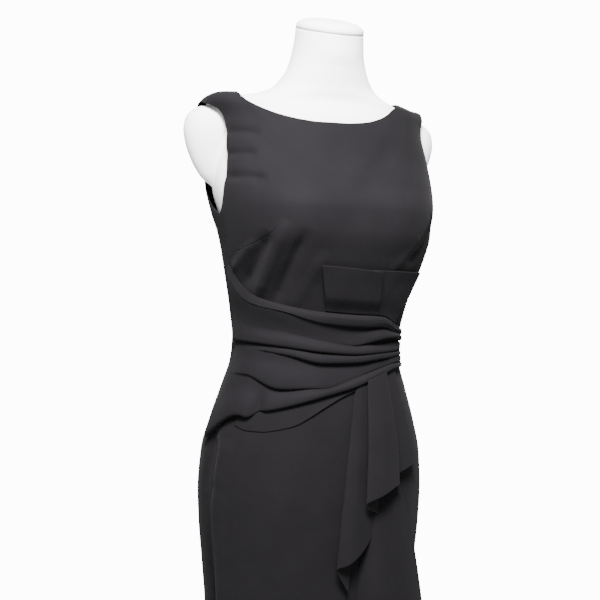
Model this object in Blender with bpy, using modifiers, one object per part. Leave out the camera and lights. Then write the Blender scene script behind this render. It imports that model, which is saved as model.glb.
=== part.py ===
"""An evening gown worn by its limbless dress form, at real size.

Metres, Z up, origin on the floor under the stand. The wearer faces -Y, so the wearer's right is -X.
An angle runs round the body in degrees: 0 at the wearer's left side, 90 at the front, 180 at the right
side and 270 at the back. A lift is how far a point stands off the body's skin, along its normal.
"""

import math
from collections import namedtuple

import bmesh
import bpy
import numpy as np
from mathutils import Matrix

# Driving sizes
WAIST = 1.095
HEM = 0.032
SEAM_GAP = 0.0003
WAIST_GAP = 0.0006
CREPE = 0.0014
FLOUNCE_CREPE = 0.0013
FOLDED_CREPE = 0.0018
UNDERLAP_CREPE = 0.0010
EASE = 0.0010
SIDE_SEAM = 7.0
SEAM_ANGLE = 0.07
GATHER_ANGLE = 30.0
SHOULDER_NECKS = (-0.135, 0.114)
SHOULDER_TIP = 0.1730
OVER_PANEL = 0.0038

Section = namedtuple("Section", "height half_width front back side front_square back_square")

# The inside of the gown, section by section: front, back and the widest point's place are along Y.
GOWN_SECTIONS = (
    Section(0.020, 0.205, 0.185, 0.205, 0.000, 2.1, 2.1),
    Section(0.250, 0.172, 0.145, 0.160, 0.000, 2.1, 2.1),
    Section(0.480, 0.155, 0.118, 0.128, 0.001, 2.2, 2.2),
    Section(0.600, 0.152, 0.113, 0.121, 0.002, 2.2, 2.2),
    Section(0.700, 0.156, 0.114, 0.122, 0.003, 2.2, 2.2),
    Section(0.780, 0.163, 0.116, 0.127, 0.004, 2.2, 2.2),
    Section(0.835, 0.1685, 0.117, 0.130, 0.005, 2.2, 2.2),
    Section(0.885, 0.171, 0.117, 0.130, 0.006, 2.2, 2.2),
    Section(0.940, 0.168, 0.115, 0.124, 0.005, 2.2, 2.2),
    Section(0.990, 0.156, 0.112, 0.110, 0.002, 2.2, 2.2),
    Section(1.040, 0.140, 0.106, 0.099, -0.001, 2.2, 2.2),
    Section(1.080, 0.1285, 0.100, 0.092, -0.003, 2.2, 2.2),
    Section(1.110, 0.1262, 0.098, 0.090, -0.004, 2.2, 2.2),
    Section(1.150, 0.132, 0.106, 0.088, -0.009, 2.2, 2.2),
    Section(1.190, 0.1405, 0.121, 0.086, -0.015, 2.25, 2.2),
    Section(1.230, 0.149, 0.137, 0.086, -0.022, 2.35, 2.3),
    Section(1.270, 0.158, 0.147, 0.090, -0.025, 2.4, 2.4),
    Section(1.300, 0.1655, 0.147, 0.099, -0.019, 2.4, 2.6),
    Section(1.340, 0.1715, 0.131, 0.109, -0.009, 2.3, 2.9),
    Section(1.380, 0.172, 0.111, 0.113, 0.000, 2.2, 3.1),
    Section(1.420, 0.170, 0.098, 0.107, 0.006, 2.2, 3.0),
    Section(1.440, 0.173, 0.090, 0.100, 0.010, 2.2, 2.8),
    Section(1.454, 0.1765, 0.084, 0.091, 0.012, 2.2, 2.5),
    Section(1.462, 0.1745, 0.080, 0.085, 0.011, 2.2, 2.3),
    Section(1.4675, 0.163, 0.078, 0.080, 0.009, 2.1, 2.2),
    Section(1.4705, 0.148, 0.077, 0.077, 0.006, 2.1, 2.1),
    Section(1.4735, 0.130, 0.076, 0.074, 0.003, 2.0, 2.0),
    Section(1.479, 0.106, 0.0755, 0.067, -0.001, 2.0, 2.0),
    Section(1.488, 0.086, 0.075, 0.058, -0.007, 2.0, 2.0),
    Section(1.500, 0.072, 0.074, 0.052, -0.011, 2.0, 2.0),
)
Bust = namedtuple("Bust", "across height half_width half_height rise")
BUST = Bust(0.088, 1.292, 0.062, 0.055, 0.014)

# The dress form under it: slimmer than the gown everywhere but along the shoulders, which carry it.
FORM_SECTIONS = (
    Section(0.800, 0.140, 0.092, 0.104, 0.005, 2.2, 2.2),
    Section(0.812, 0.153, 0.102, 0.115, 0.005, 2.2, 2.2),
    Section(0.840, 0.160, 0.108, 0.121, 0.005, 2.2, 2.2),
    Section(0.885, 0.163, 0.109, 0.122, 0.006, 2.2, 2.2),
    Section(0.940, 0.160, 0.107, 0.116, 0.005, 2.2, 2.2),
    Section(0.990, 0.148, 0.104, 0.102, 0.002, 2.2, 2.2),
    Section(1.040, 0.132, 0.098, 0.091, -0.001, 2.2, 2.2),
    Section(1.080, 0.1215, 0.092, 0.084, -0.003, 2.2, 2.2),
    Section(1.110, 0.1195, 0.090, 0.082, -0.004, 2.2, 2.2),
    Section(1.150, 0.124, 0.098, 0.080, -0.009, 2.2, 2.2),
    Section(1.190, 0.1325, 0.112, 0.078, -0.015, 2.2, 2.2),
    Section(1.230, 0.141, 0.127, 0.078, -0.022, 2.2, 2.2),
    Section(1.270, 0.149, 0.136, 0.082, -0.024, 2.2, 2.3),
    Section(1.300, 0.159, 0.135, 0.089, -0.018, 2.2, 2.4),
    Section(1.340, 0.166, 0.119, 0.097, -0.009, 2.2, 2.6),
    Section(1.380, 0.164, 0.101, 0.098, 0.000, 2.1, 2.6),
    Section(1.420, 0.161, 0.089, 0.092, 0.006, 2.1, 2.4),
    Section(1.440, 0.162, 0.083, 0.086, 0.009, 2.1, 2.3),
    Section(1.452, 0.164, 0.077, 0.072, 0.010, 2.0, 2.0),
    Section(1.460, 0.166, 0.072, 0.063, 0.010, 2.0, 2.0),
    Section(1.466, 0.158, 0.070, 0.057, 0.008, 2.0, 2.0),
    Section(1.4695, 0.1455, 0.070, 0.053, 0.005, 2.0, 2.0),
    Section(1.4725, 0.1280, 0.071, 0.051, 0.002, 2.0, 2.0),
    Section(1.478, 0.1050, 0.072, 0.050, -0.003, 2.0, 2.0),
    Section(1.487, 0.084, 0.073, 0.053, -0.009, 2.0, 2.0),
    Section(1.500, 0.071, 0.0755, 0.046, -0.015, 2.0, 2.0),
    Section(1.520, 0.060, 0.079, 0.034, -0.022, 2.0, 2.0),
    Section(1.550, 0.053, 0.083, 0.026, -0.028, 2.0, 2.0),
    Section(1.575, 0.051, 0.085, 0.023, -0.031, 2.0, 2.0),
)
FORM_STEPS = 32
NECK_SLANT_FROM = 1.515
NECK_SLANT_OVER = 0.030
NECK_LEAN = math.radians(17.0)
NECK_SLANT = math.tan(NECK_LEAN)
NECK_MIDDLE = -0.031
# The neck's cap, from its top down: share of the neck's outline, and rise above the neck's end.
Dome = namedtuple("Dome", "share rise")
NECK_DOME = (
    Dome(0.12, 0.0195),
    Dome(0.45, 0.0185),
    Dome(0.78, 0.0155),
    Dome(0.95, 0.0105),
    Dome(1.00, 0.0050),
    Dome(1.00, 0.0003),
)

# A shoulder cap fills each armhole. It is turned about an upright axis, then flattened front to back.
Turn = namedtuple("Turn", "height radius")
CAP_PROFILE = (
    Turn(1.4575, 0.0000),
    Turn(1.4560, 0.0190),
    Turn(1.4500, 0.0350),
    Turn(1.4375, 0.0460),
    Turn(1.4180, 0.0490),
    Turn(1.3940, 0.0440),
    Turn(1.3700, 0.0340),
    Turn(1.3490, 0.0210),
    Turn(1.3330, 0.0000),
)
CAP_ACROSS = 0.154
CAP_BACK = 0.011
CAP_FLATNESS = 0.72

# The stand: base, pole and the socket that carries the torso, turned about the middle.
BASE_PROFILE = (
    Turn(0.034, 0.0000),
    Turn(0.034, 0.0190),
    Turn(0.030, 0.0225),
    Turn(0.018, 0.0240),
    Turn(0.013, 0.0320),
    Turn(0.011, 0.1480),
    Turn(0.008, 0.1570),
    Turn(0.003, 0.1600),
    Turn(0.000, 0.1590),
    Turn(0.000, 0.0000),
)
SOCKET_PROFILE = (
    Turn(0.7997, 0.0000),
    Turn(0.7997, 0.0600),
    Turn(0.7950, 0.0620),
    Turn(0.7900, 0.0600),
    Turn(0.7840, 0.0260),
    Turn(0.7400, 0.0230),
    Turn(0.7380, 0.0210),
    Turn(0.7380, 0.0000),
)
POLE_RADIUS = 0.0127

# The shoulders sit a little over to the wearer's right and the left one is lower. The right strap
# rises and then droops off its cap: how much, by the place across the body.
Sway = namedtuple("Sway", "side shift heights across")
SWAYS = (
    Sway(-1, -0.0120, (1.430, 1.463), (0.095, 0.168)),
    Sway(1, -0.0090, (1.360, 1.450), (0.090, 0.160)),
)
CAP_SWAY = -0.0090
LEFT_DROP = -0.004
LEFT_DROP_HEIGHTS = (1.440, 1.466)
LEFT_DROP_START = (0.070, 0.108)
LEFT_DROP_END = (0.140, 0.168)
Rise = namedtuple("Rise", "across rise")
STRAP_RISE = (
    Rise(-0.1850, -0.0030),
    Rise(-0.1790, 0.0008),
    Rise(-0.1660, 0.0030),
    Rise(-0.1450, 0.0010),
    Rise(-0.1200, 0.0000),
)
STRAP_HEIGHTS = (1.425, 1.452)

# The front armhole's edge, and the back one's: degrees from the widest point, forward and backward.
Edge = namedtuple("Edge", "height turn")
ARMHOLE_FRONT = (
    Edge(1.4580, 13.0),
    Edge(1.4440, 22.5),
    Edge(1.4130, 24.2),
    Edge(1.3830, 24.8),
    Edge(1.3460, 23.3),
    Edge(1.3240, 19.3),
    Edge(1.3030, 13.4),
    Edge(1.2920, 7.0),
)
ARMHOLE_BACK = (
    Edge(1.4560, 16.0),
    Edge(1.4400, 25.0),
    Edge(1.4100, 30.0),
    Edge(1.3800, 31.0),
    Edge(1.3480, 27.0),
    Edge(1.3220, 16.0),
    Edge(1.3020, 3.0),
    Edge(1.2920, -7.0),
)

# The neckline between the shoulder points: across the body from the wearer's right, and its height.
Neck = namedtuple("Neck", "across height")
NECKLINE_FRONT = (
    Neck(-0.1370, 1.4670),
    Neck(-0.1305, 1.4570),
    Neck(-0.1150, 1.4464),
    Neck(-0.0914, 1.4363),
    Neck(-0.0640, 1.4298),
    Neck(-0.0350, 1.4270),
    Neck(0.0030, 1.4276),
    Neck(0.0350, 1.4312),
    Neck(0.0580, 1.4380),
    Neck(0.0760, 1.4478),
    Neck(0.0885, 1.4595),
    Neck(0.1010, 1.4690),
)
# The back neckline, by its share of the way from the zip to the shoulder's neck point.
NECKLINE_BACK = (
    Neck(0.0010, 1.4480),
    Neck(0.3200, 1.4492),
    Neck(0.5600, 1.4530),
    Neck(0.7600, 1.4590),
    Neck(0.9300, 1.4670),
)

# Soft flutes down the skirt: the angle at the hip and at the hem, half width in degrees, rise at both.
Flute = namedtuple("Flute", "hip_angle hem_angle half_width hip_rise hem_rise")
SKIRT_FLUTES = (
    Flute(160.0, 171.0, 6.0, 0.0045, 0.0160),
    Flute(147.0, 150.0, 7.0, -0.0010, -0.0100),
    Flute(122.0, 126.0, 10.0, 0.0015, 0.0160),
    Flute(104.0, 104.0, 8.0, -0.0005, -0.0110),
    Flute(22.0, 18.0, 7.0, 0.0010, 0.0130),
    Flute(200.0, 203.0, 9.0, -0.0010, -0.0110),
    Flute(222.0, 224.0, 9.0, 0.0015, 0.0170),
    Flute(246.0, 247.0, 8.0, -0.0010, -0.0110),
    Flute(294.0, 293.0, 8.0, -0.0010, -0.0110),
    Flute(318.0, 316.0, 9.0, 0.0015, 0.0170),
    Flute(340.0, 338.0, 9.0, -0.0010, -0.0110),
)

# The waist drape is gathered at the wearer's left and sewn flat at the right. Each fold line runs
# between the stations below, as a height at each. A band hangs between two lines, and its lower edge
# stands proud by a depth at each station before it rolls under to the next line.
STATIONS = (173.0, 150.0, 125.0, 100.0, 80.0, 60.0, 45.0, 30.0)
FoldLine = namedtuple("FoldLine", "name heights creases")
FOLD_LINES = (
    FoldLine(
        "top",
        (1.2220, 1.1810, 1.1625, 1.1531, 1.1502, 1.1482, 1.1370, 1.1295),
        (1.00, 1.00, 1.00, 1.00, 1.00, 1.00, 1.00, 1.00),
    ),
    FoldLine(
        "roll",
        (1.2060, 1.1680, 1.1555, 1.1390, 1.1332, 1.1420, 1.1300, 1.1225),
        (1.00, 1.00, 1.00, 1.00, 1.00, 1.00, 1.00, 1.00),
    ),
    FoldLine(
        "wedge",
        (1.1570, 1.1370, 1.1280, 1.1130, 1.1035, 1.1135, 1.1180, 1.1130),
        (0.00, 0.00, 0.00, 0.15, 1.00, 1.00, 1.00, 1.00),
    ),
    FoldLine(
        "waist",
        (1.1085, 1.1066, 1.1024, 1.0962, 1.0940, 1.0972, 1.0995, 1.1020),
        (1.00, 1.00, 1.00, 1.00, 1.00, 1.00, 1.00, 1.00),
    ),
    FoldLine(
        "belly",
        (1.0900, 1.0930, 1.0886, 1.0774, 1.0791, 1.0861, 1.0900, 1.0915),
        (0.00, 0.00, 0.90, 1.00, 1.00, 1.00, 1.00, 1.00),
    ),
    FoldLine(
        "sweep",
        (1.0560, 1.0570, 1.0432, 1.0443, 1.0588, 1.0722, 1.0806, 1.0828),
        (0.00, 0.50, 1.00, 0.60, 0.80, 1.00, 1.00, 1.00),
    ),
    FoldLine(
        "edge",
        (0.9645, 0.9965, 1.0150, 1.0335, 1.0475, 1.0635, 1.0720, 1.0735),
        (1.00, 1.00, 1.00, 1.00, 1.00, 1.00, 1.00, 1.00),
    ),
)
Band = namedtuple("Band", "name depths")
BANDS = (
    Band("roll", (0.0025, 0.0040, 0.0055, 0.0065, 0.0065, 0.0050, 0.0040, 0.0020)),
    Band("upper", (0.0015, 0.0025, 0.0025, 0.0025, 0.0035, 0.0045, 0.0035, 0.0018)),
    Band("waist", (0.0040, 0.0055, 0.0065, 0.0070, 0.0070, 0.0055, 0.0040, 0.0020)),
    Band("belly", (0.0008, 0.0020, 0.0050, 0.0070, 0.0065, 0.0050, 0.0035, 0.0018)),
    Band("sweep", (0.0015, 0.0045, 0.0055, 0.0030, 0.0020, 0.0020, 0.0025, 0.0018)),
    Band("hip", (0.0045, 0.0060, 0.0070, 0.0066, 0.0056, 0.0042, 0.0032, 0.0020)),
)
# Down one band: share of the way to its lower line, and share of its depth.
Fall = namedtuple("Fall", "down proud")
BAND_FALL = (Fall(0.06, 0.00), Fall(0.34, 0.42), Fall(0.68, 0.84), Fall(0.92, 1.00))
BAND_LIP = Fall(1.00, 0.80)
DRAPE_END = 172.4

# The underlap shows below the drape: its seam's height, round the body.
UNDERLAP_SEAM = (
    Edge(0.9850, 149.0),
    Edge(0.9790, 140.0),
    Edge(0.9785, 131.0),
    Edge(0.9830, 121.0),
    Edge(0.9895, 113.0),
    Edge(0.9985, 107.5),
    Edge(1.0135, 99.0),
    Edge(1.0290, 88.5),
    Edge(1.0385, 79.5),
)

# The upright tab at the gather: a wide panel pleated over a narrow one. Angles at its top and bottom
# edge, the height of its top edge, and how far each corner stands off.
TabPanel = namedtuple("TabPanel", "top_angles top_heights foot_angles top_lifts foot_lifts")
TAB_WIDE = TabPanel((105.9, 70.0), (1.2225, 1.2165), (100.0, 64.5), (0.0080, 0.0080), (0.0062, 0.0062))
TAB_NARROW = TabPanel((75.0, 34.0), (1.2165, 1.2175), (70.0, 43.5), (0.0036, 0.0072), (0.0034, 0.0038))
TAB_CLEAR = 0.0018

# A cascade hangs in S folds. Each line runs from its top to the hem, in order along the cloth; the
# bow says how soon it swings out to its hem's angle. The upper one starts under the drape's edge.
Fold = namedtuple("Fold", "name angle height lift hem_angle hem_height hem_lift bow")
CASCADE_UPPER = (
    Fold("free_edge", 43.0, 1.0700, 0.0038, 46.5, 0.9285, 0.0130, 0.6),
    Fold("side_panel", 53.0, 1.0670, 0.0038, 58.0, 0.9190, 0.0145, 0.6),
    Fold("tuck", 61.0, 1.0620, 0.0042, 66.0, 0.9120, 0.0160, 0.6),
    Fold("tuck_back", 62.6, 1.0615, 0.0064, 67.4, 0.9095, 0.0200, 0.6),
    Fold("return", 60.0, 1.0625, 0.0088, 65.5, 0.9070, 0.0245, 0.6),
    Fold("cone_right", 56.5, 1.0640, 0.0100, 62.8, 0.9043, 0.0275, 0.6),
    Fold("cone_front", 59.0, 1.0630, 0.0114, 66.0, 0.9015, 0.0320, 0.6),
    Fold("cone_middle", 65.0, 1.0590, 0.0120, 73.0, 0.8925, 0.0380, 0.6),
    Fold("cone_left", 71.0, 1.0540, 0.0114, 80.2, 0.8810, 0.0330, 0.6),
    Fold("hollow", 70.4, 1.0550, 0.0096, 78.5, 0.8730, 0.0285, 0.6),
    Fold("hollow_back", 67.0, 1.0580, 0.0090, 72.0, 0.8610, 0.0275, 0.6),
    Fold("hollow_turn", 64.8, 1.0590, 0.0066, 69.0, 0.8540, 0.0245, 0.6),
    Fold("low_root", 66.8, 1.0580, 0.0042, 71.5, 0.8380, 0.0215, 0.6),
    Fold("low_face", 70.5, 1.0550, 0.0050, 79.0, 0.8130, 0.0250, 0.5),
    Fold("low_front", 73.5, 1.0525, 0.0058, 86.5, 0.7960, 0.0270, 0.5),
    Fold("low_left", 76.4, 1.0500, 0.0060, 91.9, 0.7870, 0.0205, 0.5),
    Fold("low_under", 74.4, 1.0510, 0.0042, 84.5, 0.7500, 0.0120, 0.5),
)
CASCADE_MIDDLE = (
    Fold("free_edge", 66.5, 0.9420, 0.0070, 33.0, 0.5500, 0.0600, 0.62),
    Fold("right_face", 68.5, 0.9420, 0.0076, 46.0, 0.5220, 0.0680, 0.8),
    Fold("wide_face", 71.0, 0.9420, 0.0076, 62.0, 0.4900, 0.0600, 1.0),
    Fold("left_face", 73.5, 0.9420, 0.0066, 80.0, 0.4400, 0.0380, 2.0),
    Fold("seam", 76.0, 0.9420, 0.0030, 92.0, 0.3900, 0.0030, 2.0),
)
CASCADE_LOWER = (
    Fold("free_edge", 58.0, 0.6000, 0.0080, 30.0, 0.1500, 0.0520, 0.8),
    Fold("face", 63.0, 0.6000, 0.0110, 50.0, 0.0950, 0.0660, 0.9),
    Fold("dip", 68.0, 0.6000, 0.0100, 66.0, 0.0700, 0.0300, 1.0),
    Fold("second_face", 72.0, 0.6000, 0.0090, 84.0, 0.0500, 0.0560, 1.3),
    Fold("seam", 77.0, 0.6000, 0.0030, 104.0, 0.0430, 0.0030, 2.0),
)
UNDER_EDGE = 0.0019

# The concealed zip's slider and pull at the centre back.
SLIDER_HEIGHT = 1.4340
SLIDER_SIZE = (0.0052, 0.0026, 0.0090)
SLIDER_BEVEL = 0.0006
SLIDER_LIFT = EASE + CREPE + 0.0001
BRIDGE_RADIUS = 0.0024
BRIDGE_WIRE = 0.0005
BRIDGE_LEG = 0.0009
BRIDGE_FOOT = 0.0010
PULL_LENGTH = 0.0200
PULL_THICK = 0.0008
PULL_HOLE = 0.0011
PULL_HEAD = 0.0019
PULL_TIP = 0.0026

Finish = namedtuple("Finish", "colour roughness metallic")
FINISHES = {
    "crepe": Finish((0.016, 0.015, 0.017), 0.85, 0.0),
    "form_cloth": Finish((0.86, 0.86, 0.85), 0.75, 0.0),
    "stand_metal": Finish((0.62, 0.62, 0.63), 0.35, 1.0),
    "zip_metal": Finish((0.03, 0.03, 0.032), 0.4, 0.6),
}


# ---- curves and skins ------------------------------------------------------------------------------


def smooth_through(places, values):
    """A cubic through the rows of a table that never overshoots them."""
    places = np.asarray(places, float)
    values = np.asarray(values, float)
    if places[0] > places[-1]:
        places, values = places[::-1], values[::-1]
    steps = np.diff(places)
    rates = np.diff(values) / steps
    slopes = np.zeros(len(places))
    slopes[0], slopes[-1] = rates[0], rates[-1]
    for i in range(1, len(places) - 1):
        if rates[i - 1] * rates[i] > 0:
            before = 2 * steps[i] + steps[i - 1]
            after = steps[i] + 2 * steps[i - 1]
            slopes[i] = (before + after) / (before / rates[i - 1] + after / rates[i])

    def read(place):
        place = np.clip(np.asarray(place, float), places[0], places[-1])
        i = np.clip(np.searchsorted(places, place, side="right") - 1, 0, len(places) - 2)
        t = (place - places[i]) / steps[i]
        start = values[i] * (1 + 2 * t) * (1 - t) ** 2 + slopes[i] * steps[i] * t * (1 - t) ** 2
        end = values[i + 1] * t * t * (3 - 2 * t) + slopes[i + 1] * steps[i] * t * t * (t - 1)
        return start + end

    return read


class Skin:
    """A closed skin through a table of level sections, each a squared ellipse."""

    def __init__(self, sections, bust):
        heights = [row.height for row in sections]
        self.bust = bust
        self.read = {
            name: smooth_through(heights, [getattr(row, name) for row in sections])
            for name in Section._fields[1:]
        }

    def mound(self, x, z):
        up = ((z - self.bust.height) / self.bust.half_height) ** 2
        sides = (np.exp(-(((x - side * self.bust.across) / self.bust.half_width) ** 2) - up) for side in (-1, 1))
        return self.bust.rise * sum(sides)

    def shape(self, x, z, front):
        """Depth and squareness of the half that faces front or back."""
        side = self.read["side"](z)
        ahead = self.read["front"](z) + side + self.mound(x, z)
        behind = self.read["back"](z) - side
        depth = np.where(front, ahead, behind)
        return depth, np.where(front, self.read["front_square"](z), self.read["back_square"](z))

    def at(self, angle, height):
        """Points of the skin at an angle and a height."""
        angle, height = np.broadcast_arrays(np.radians(angle), np.asarray(height, float))
        across, ahead = np.cos(angle), np.sin(angle)
        square = self.shape(0.0, height, ahead > 0)[1]
        reach = (np.abs(across) ** square + np.abs(ahead) ** square) ** (-1 / square)
        x = self.read["half_width"](height) * reach * across
        depth = self.shape(x, height, ahead > 0)[0]
        return np.stack([x, self.read["side"](height) - depth * reach * ahead, height], -1)

    def front_at(self, across, height, ahead=1.0):
        """The front (ahead 1) or back (ahead -1) point of the skin above a place across the body."""
        across, height = np.broadcast_arrays(np.asarray(across, float), np.asarray(height, float))
        depth, square = self.shape(across, height, ahead > 0)
        share = np.clip(1 - np.abs(across / self.read["half_width"](height)) ** square, 0, 1)
        return np.stack([across, self.read["side"](height) - ahead * depth * share ** (1 / square), height], -1)

    def outside(self, points):
        x, y, z = points[..., 0], points[..., 1], points[..., 2]
        side = self.read["side"](z)
        depth, square = self.shape(x, z, y < side)
        ring = np.abs(x / self.read["half_width"](z)) ** square + np.abs((y - side) / depth) ** square
        return ring ** (1 / square) - 1

    def gradient(self, points):
        step = 0.0004
        shifts = np.eye(3) * step
        return np.stack(
            [(self.outside(points + s) - self.outside(points - s)) / (2 * step) for s in shifts], -1
        )

    def normal(self, points):
        gradient = self.gradient(points)
        return gradient / np.linalg.norm(gradient, axis=-1, keepdims=True)

    def settle(self, points):
        """The points, each brought onto the skin."""
        for _ in range(12):
            gradient = self.gradient(points)
            square = (gradient**2).sum(-1, keepdims=True)
            points = points - 0.8 * self.outside(points)[..., None] * gradient / square
        return points

    def lifted(self, points, lift):
        return points + self.normal(points) * np.broadcast_to(lift, points.shape[:-1])[..., None]


GOWN = Skin(GOWN_SECTIONS, BUST)
FORM = Skin(FORM_SECTIONS, BUST._replace(rise=0.010))


def lifted_at(angle, height, lift):
    """A point of the gown that stands off its skin."""
    angle, height, lift = np.broadcast_arrays(angle, height, lift)
    return GOWN.lifted(GOWN.at(angle, height), lift)


def ramp(value, ends):
    """0 before the first end, 1 after the second, smooth between them."""
    share = np.clip((value - ends[0]) / (ends[1] - ends[0]), 0, 1)
    return share * share * (3 - 2 * share)


def swayed(points, strap_rises=True):
    """Points of the shoulders, moved over to the wearer's right, and the left one lowered."""
    moved = np.array(points, float)
    x, z = points[..., 0], points[..., 2]
    for sway in SWAYS:
        moved[..., 0] += sway.shift * ramp(z, sway.heights) * ramp(x * sway.side, sway.across)
    drop = ramp(x, LEFT_DROP_START) * (1 - ramp(x, LEFT_DROP_END))
    moved[..., 2] += LEFT_DROP * drop * ramp(z, LEFT_DROP_HEIGHTS)
    if strap_rises:
        rise = smooth_through([row.across for row in STRAP_RISE], [row.rise for row in STRAP_RISE])
        moved[..., 2] += rise(moved[..., 0]) * ramp(z, STRAP_HEIGHTS)
    return moved


def shoulder(across, shift=0.0):
    """The point of the shoulder's ridge that lies this far across, moved a little along Y."""
    top = [row for row in GOWN_SECTIONS if row.height >= 1.454][::-1]
    height = float(np.interp(abs(across), [row.half_width for row in top], [row.height for row in top]))
    return np.array([across, float(GOWN.read["side"](height)) + shift, height])


def along(points, count):
    """The same line through points, with evenly spaced ones."""
    points = np.asarray(points)
    run = np.concatenate([[0], np.cumsum(np.linalg.norm(np.diff(points, axis=0), axis=1))])
    share = np.linspace(0, run[-1], count)
    return np.stack([smooth_through(run, points[:, k])(share) for k in range(3)], -1)


def patch(top, bottom, left, right):
    """A sheet between four edges: top row first, columns left to right as seen from outside."""
    v = np.linspace(0, 1, len(left))[:, None, None]
    u = np.linspace(0, 1, len(top))[None, :, None]
    across = (1 - v) * top[None] + v * bottom[None]
    down = (1 - u) * left[:, None] + u * right[:, None]
    corners = (1 - v) * ((1 - u) * top[0] + u * top[-1]) + v * ((1 - u) * bottom[0] + u * bottom[-1])
    return across + down - corners


def mirrored(grid):
    """The other side's sheet, with its columns still left to right as seen from outside."""
    return (grid * np.array([-1.0, 1.0, 1.0]))[:, ::-1]


# ---- solids ----------------------------------------------------------------------------------------


def finish_material(name):
    material = bpy.data.materials.get(name)
    if material is None:
        material = bpy.data.materials.new(name)
        material.use_nodes = True
        shader = material.node_tree.nodes["Principled BSDF"]
        shader.inputs["Base Color"].default_value = (*FINISHES[name].colour, 1.0)
        shader.inputs["Roughness"].default_value = FINISHES[name].roughness
        shader.inputs["Metallic"].default_value = FINISHES[name].metallic
    return material


def add_object(name, mesh, material, collection):
    part = bpy.data.objects.new(name, mesh)
    if material:
        mesh.materials.append(finish_material(material))
    collection.objects.link(part)
    return part


def grid_faces(rows, columns, closed=False):
    """Quads of a grid that face outwards: rows run down, columns run left to right from outside."""
    last = columns if closed else columns - 1
    for r in range(rows - 1):
        for c in range(last):
            d = (c + 1) % columns
            yield (r * columns + c, (r + 1) * columns + c, (r + 1) * columns + d, r * columns + d)


def wall(name, grid, thickness, collection):
    """A cloth wall: a sheet through its inner points, thickened outwards."""
    rows, columns = grid.shape[:2]
    mesh = bpy.data.meshes.new(name)
    mesh.from_pydata(grid.reshape(-1, 3).tolist(), [], list(grid_faces(rows, columns)))
    mesh.shade_smooth()
    part = add_object(name, mesh, "crepe", collection)
    thicken = part.modifiers.new("Thickness", "SOLIDIFY")
    thicken.thickness = thickness
    thicken.offset = 1.0
    thicken.use_quality_normals = True
    return part


def stacked(name, rings, material, collection):
    """A closed solid through level rings, the highest first, capped at both ends."""
    rows, columns = rings.shape[:2]
    mesh = bpy.data.meshes.new(name)
    faces = list(grid_faces(rows, columns, closed=True))
    faces.append(tuple(range(columns)))
    faces.append(tuple(reversed(range((rows - 1) * columns, rows * columns))))
    mesh.from_pydata(rings.reshape(-1, 3).tolist(), [], faces)
    mesh.shade_smooth()
    mesh.set_sharp_from_angle(angle=math.radians(50))
    return add_object(name, mesh, material, collection)


def turned(name, profile, steps, material, collection):
    """A solid turned about Z from its outer profile, which runs from the top down."""
    mesh = bpy.data.meshes.new(name)
    mesh.from_pydata(
        [(row.radius, 0.0, row.height) for row in profile],
        [(i, i + 1) for i in range(len(profile) - 1)],
        [],
    )
    part = add_object(name, mesh, material, collection)
    screw = part.modifiers.new("Turn", "SCREW")
    screw.steps = screw.render_steps = steps
    screw.use_merge_vertices = True
    screw.merge_threshold = 0.0001
    screw.use_smooth_shade = True
    return part


def as_mesh(part):
    """The object's evaluated mesh, with doubles merged."""
    bpy.context.view_layer.update()
    graph = bpy.context.evaluated_depsgraph_get()
    mesh = bpy.data.meshes.new_from_object(part.evaluated_get(graph))
    cage = bmesh.new()
    cage.from_mesh(mesh)
    bmesh.ops.remove_doubles(cage, verts=cage.verts, dist=0.00001)
    cage.to_mesh(mesh)
    cage.free()
    return mesh


def unite(part, other):
    union = part.modifiers.new("Union", "BOOLEAN")
    union.operation = "UNION"
    union.object = other


# ---- bodice ----------------------------------------------------------------------------------------


def armhole(edges, side, shift):
    """From the shoulder's tip down the armhole to the underarm. side 1 is the wearer's left."""
    start = shoulder(side * SHOULDER_TIP, shift)
    forward = -math.copysign(1.0, shift)
    turns = np.array([row.turn for row in edges])
    turns[-1] += SEAM_ANGLE
    angles = forward * turns if side > 0 else 180.0 - forward * turns
    rest = GOWN.at(angles, np.array([row.height for row in edges]))
    return np.concatenate([start[None], rest])


def down_edge(line, armhole_rows, side_rows, angle, low):
    """The armhole's edge, then the side seam down to the waist."""
    underarm = line[-1][2]
    heights = np.linspace(underarm, low, side_rows + 1)[1:]
    return np.concatenate([along(line, armhole_rows + 1), GOWN.at(angle, heights)])


def make_bodice_front(collection):
    armhole_rows, side_rows, strap, neck = 10, 10, 3, 22
    shift = -SEAM_GAP / 2
    low = WAIST + WAIST_GAP / 2
    angles = (180 - SIDE_SEAM - SEAM_ANGLE, SIDE_SEAM + SEAM_ANGLE)
    left, right = (
        down_edge(armhole(ARMHOLE_FRONT, side, shift), armhole_rows, side_rows, angle, low)
        for side, angle in zip((-1, 1), angles)
    )
    neckline = GOWN.front_at([row.across for row in NECKLINE_FRONT], [row.height for row in NECKLINE_FRONT])
    ends = [shoulder(across, shift) for across in SHOULDER_NECKS]
    neckline = np.concatenate([ends[0][None], neckline, ends[1][None]])
    straps = [
        np.array([shoulder(x, shift) for x in np.linspace(side * SHOULDER_TIP, across, strap + 1)])
        for side, across in zip((-1, 1), SHOULDER_NECKS)
    ]
    top = np.concatenate([straps[0][:-1], along(neckline, neck + 1), straps[1][::-1][1:]])
    bottom = GOWN.at(np.linspace(*angles, len(top)), low)
    sheet = GOWN.settle(patch(top, bottom, left, right))
    wall("bodice_front", swayed(GOWN.lifted(sheet, EASE)), CREPE, collection)


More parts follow.
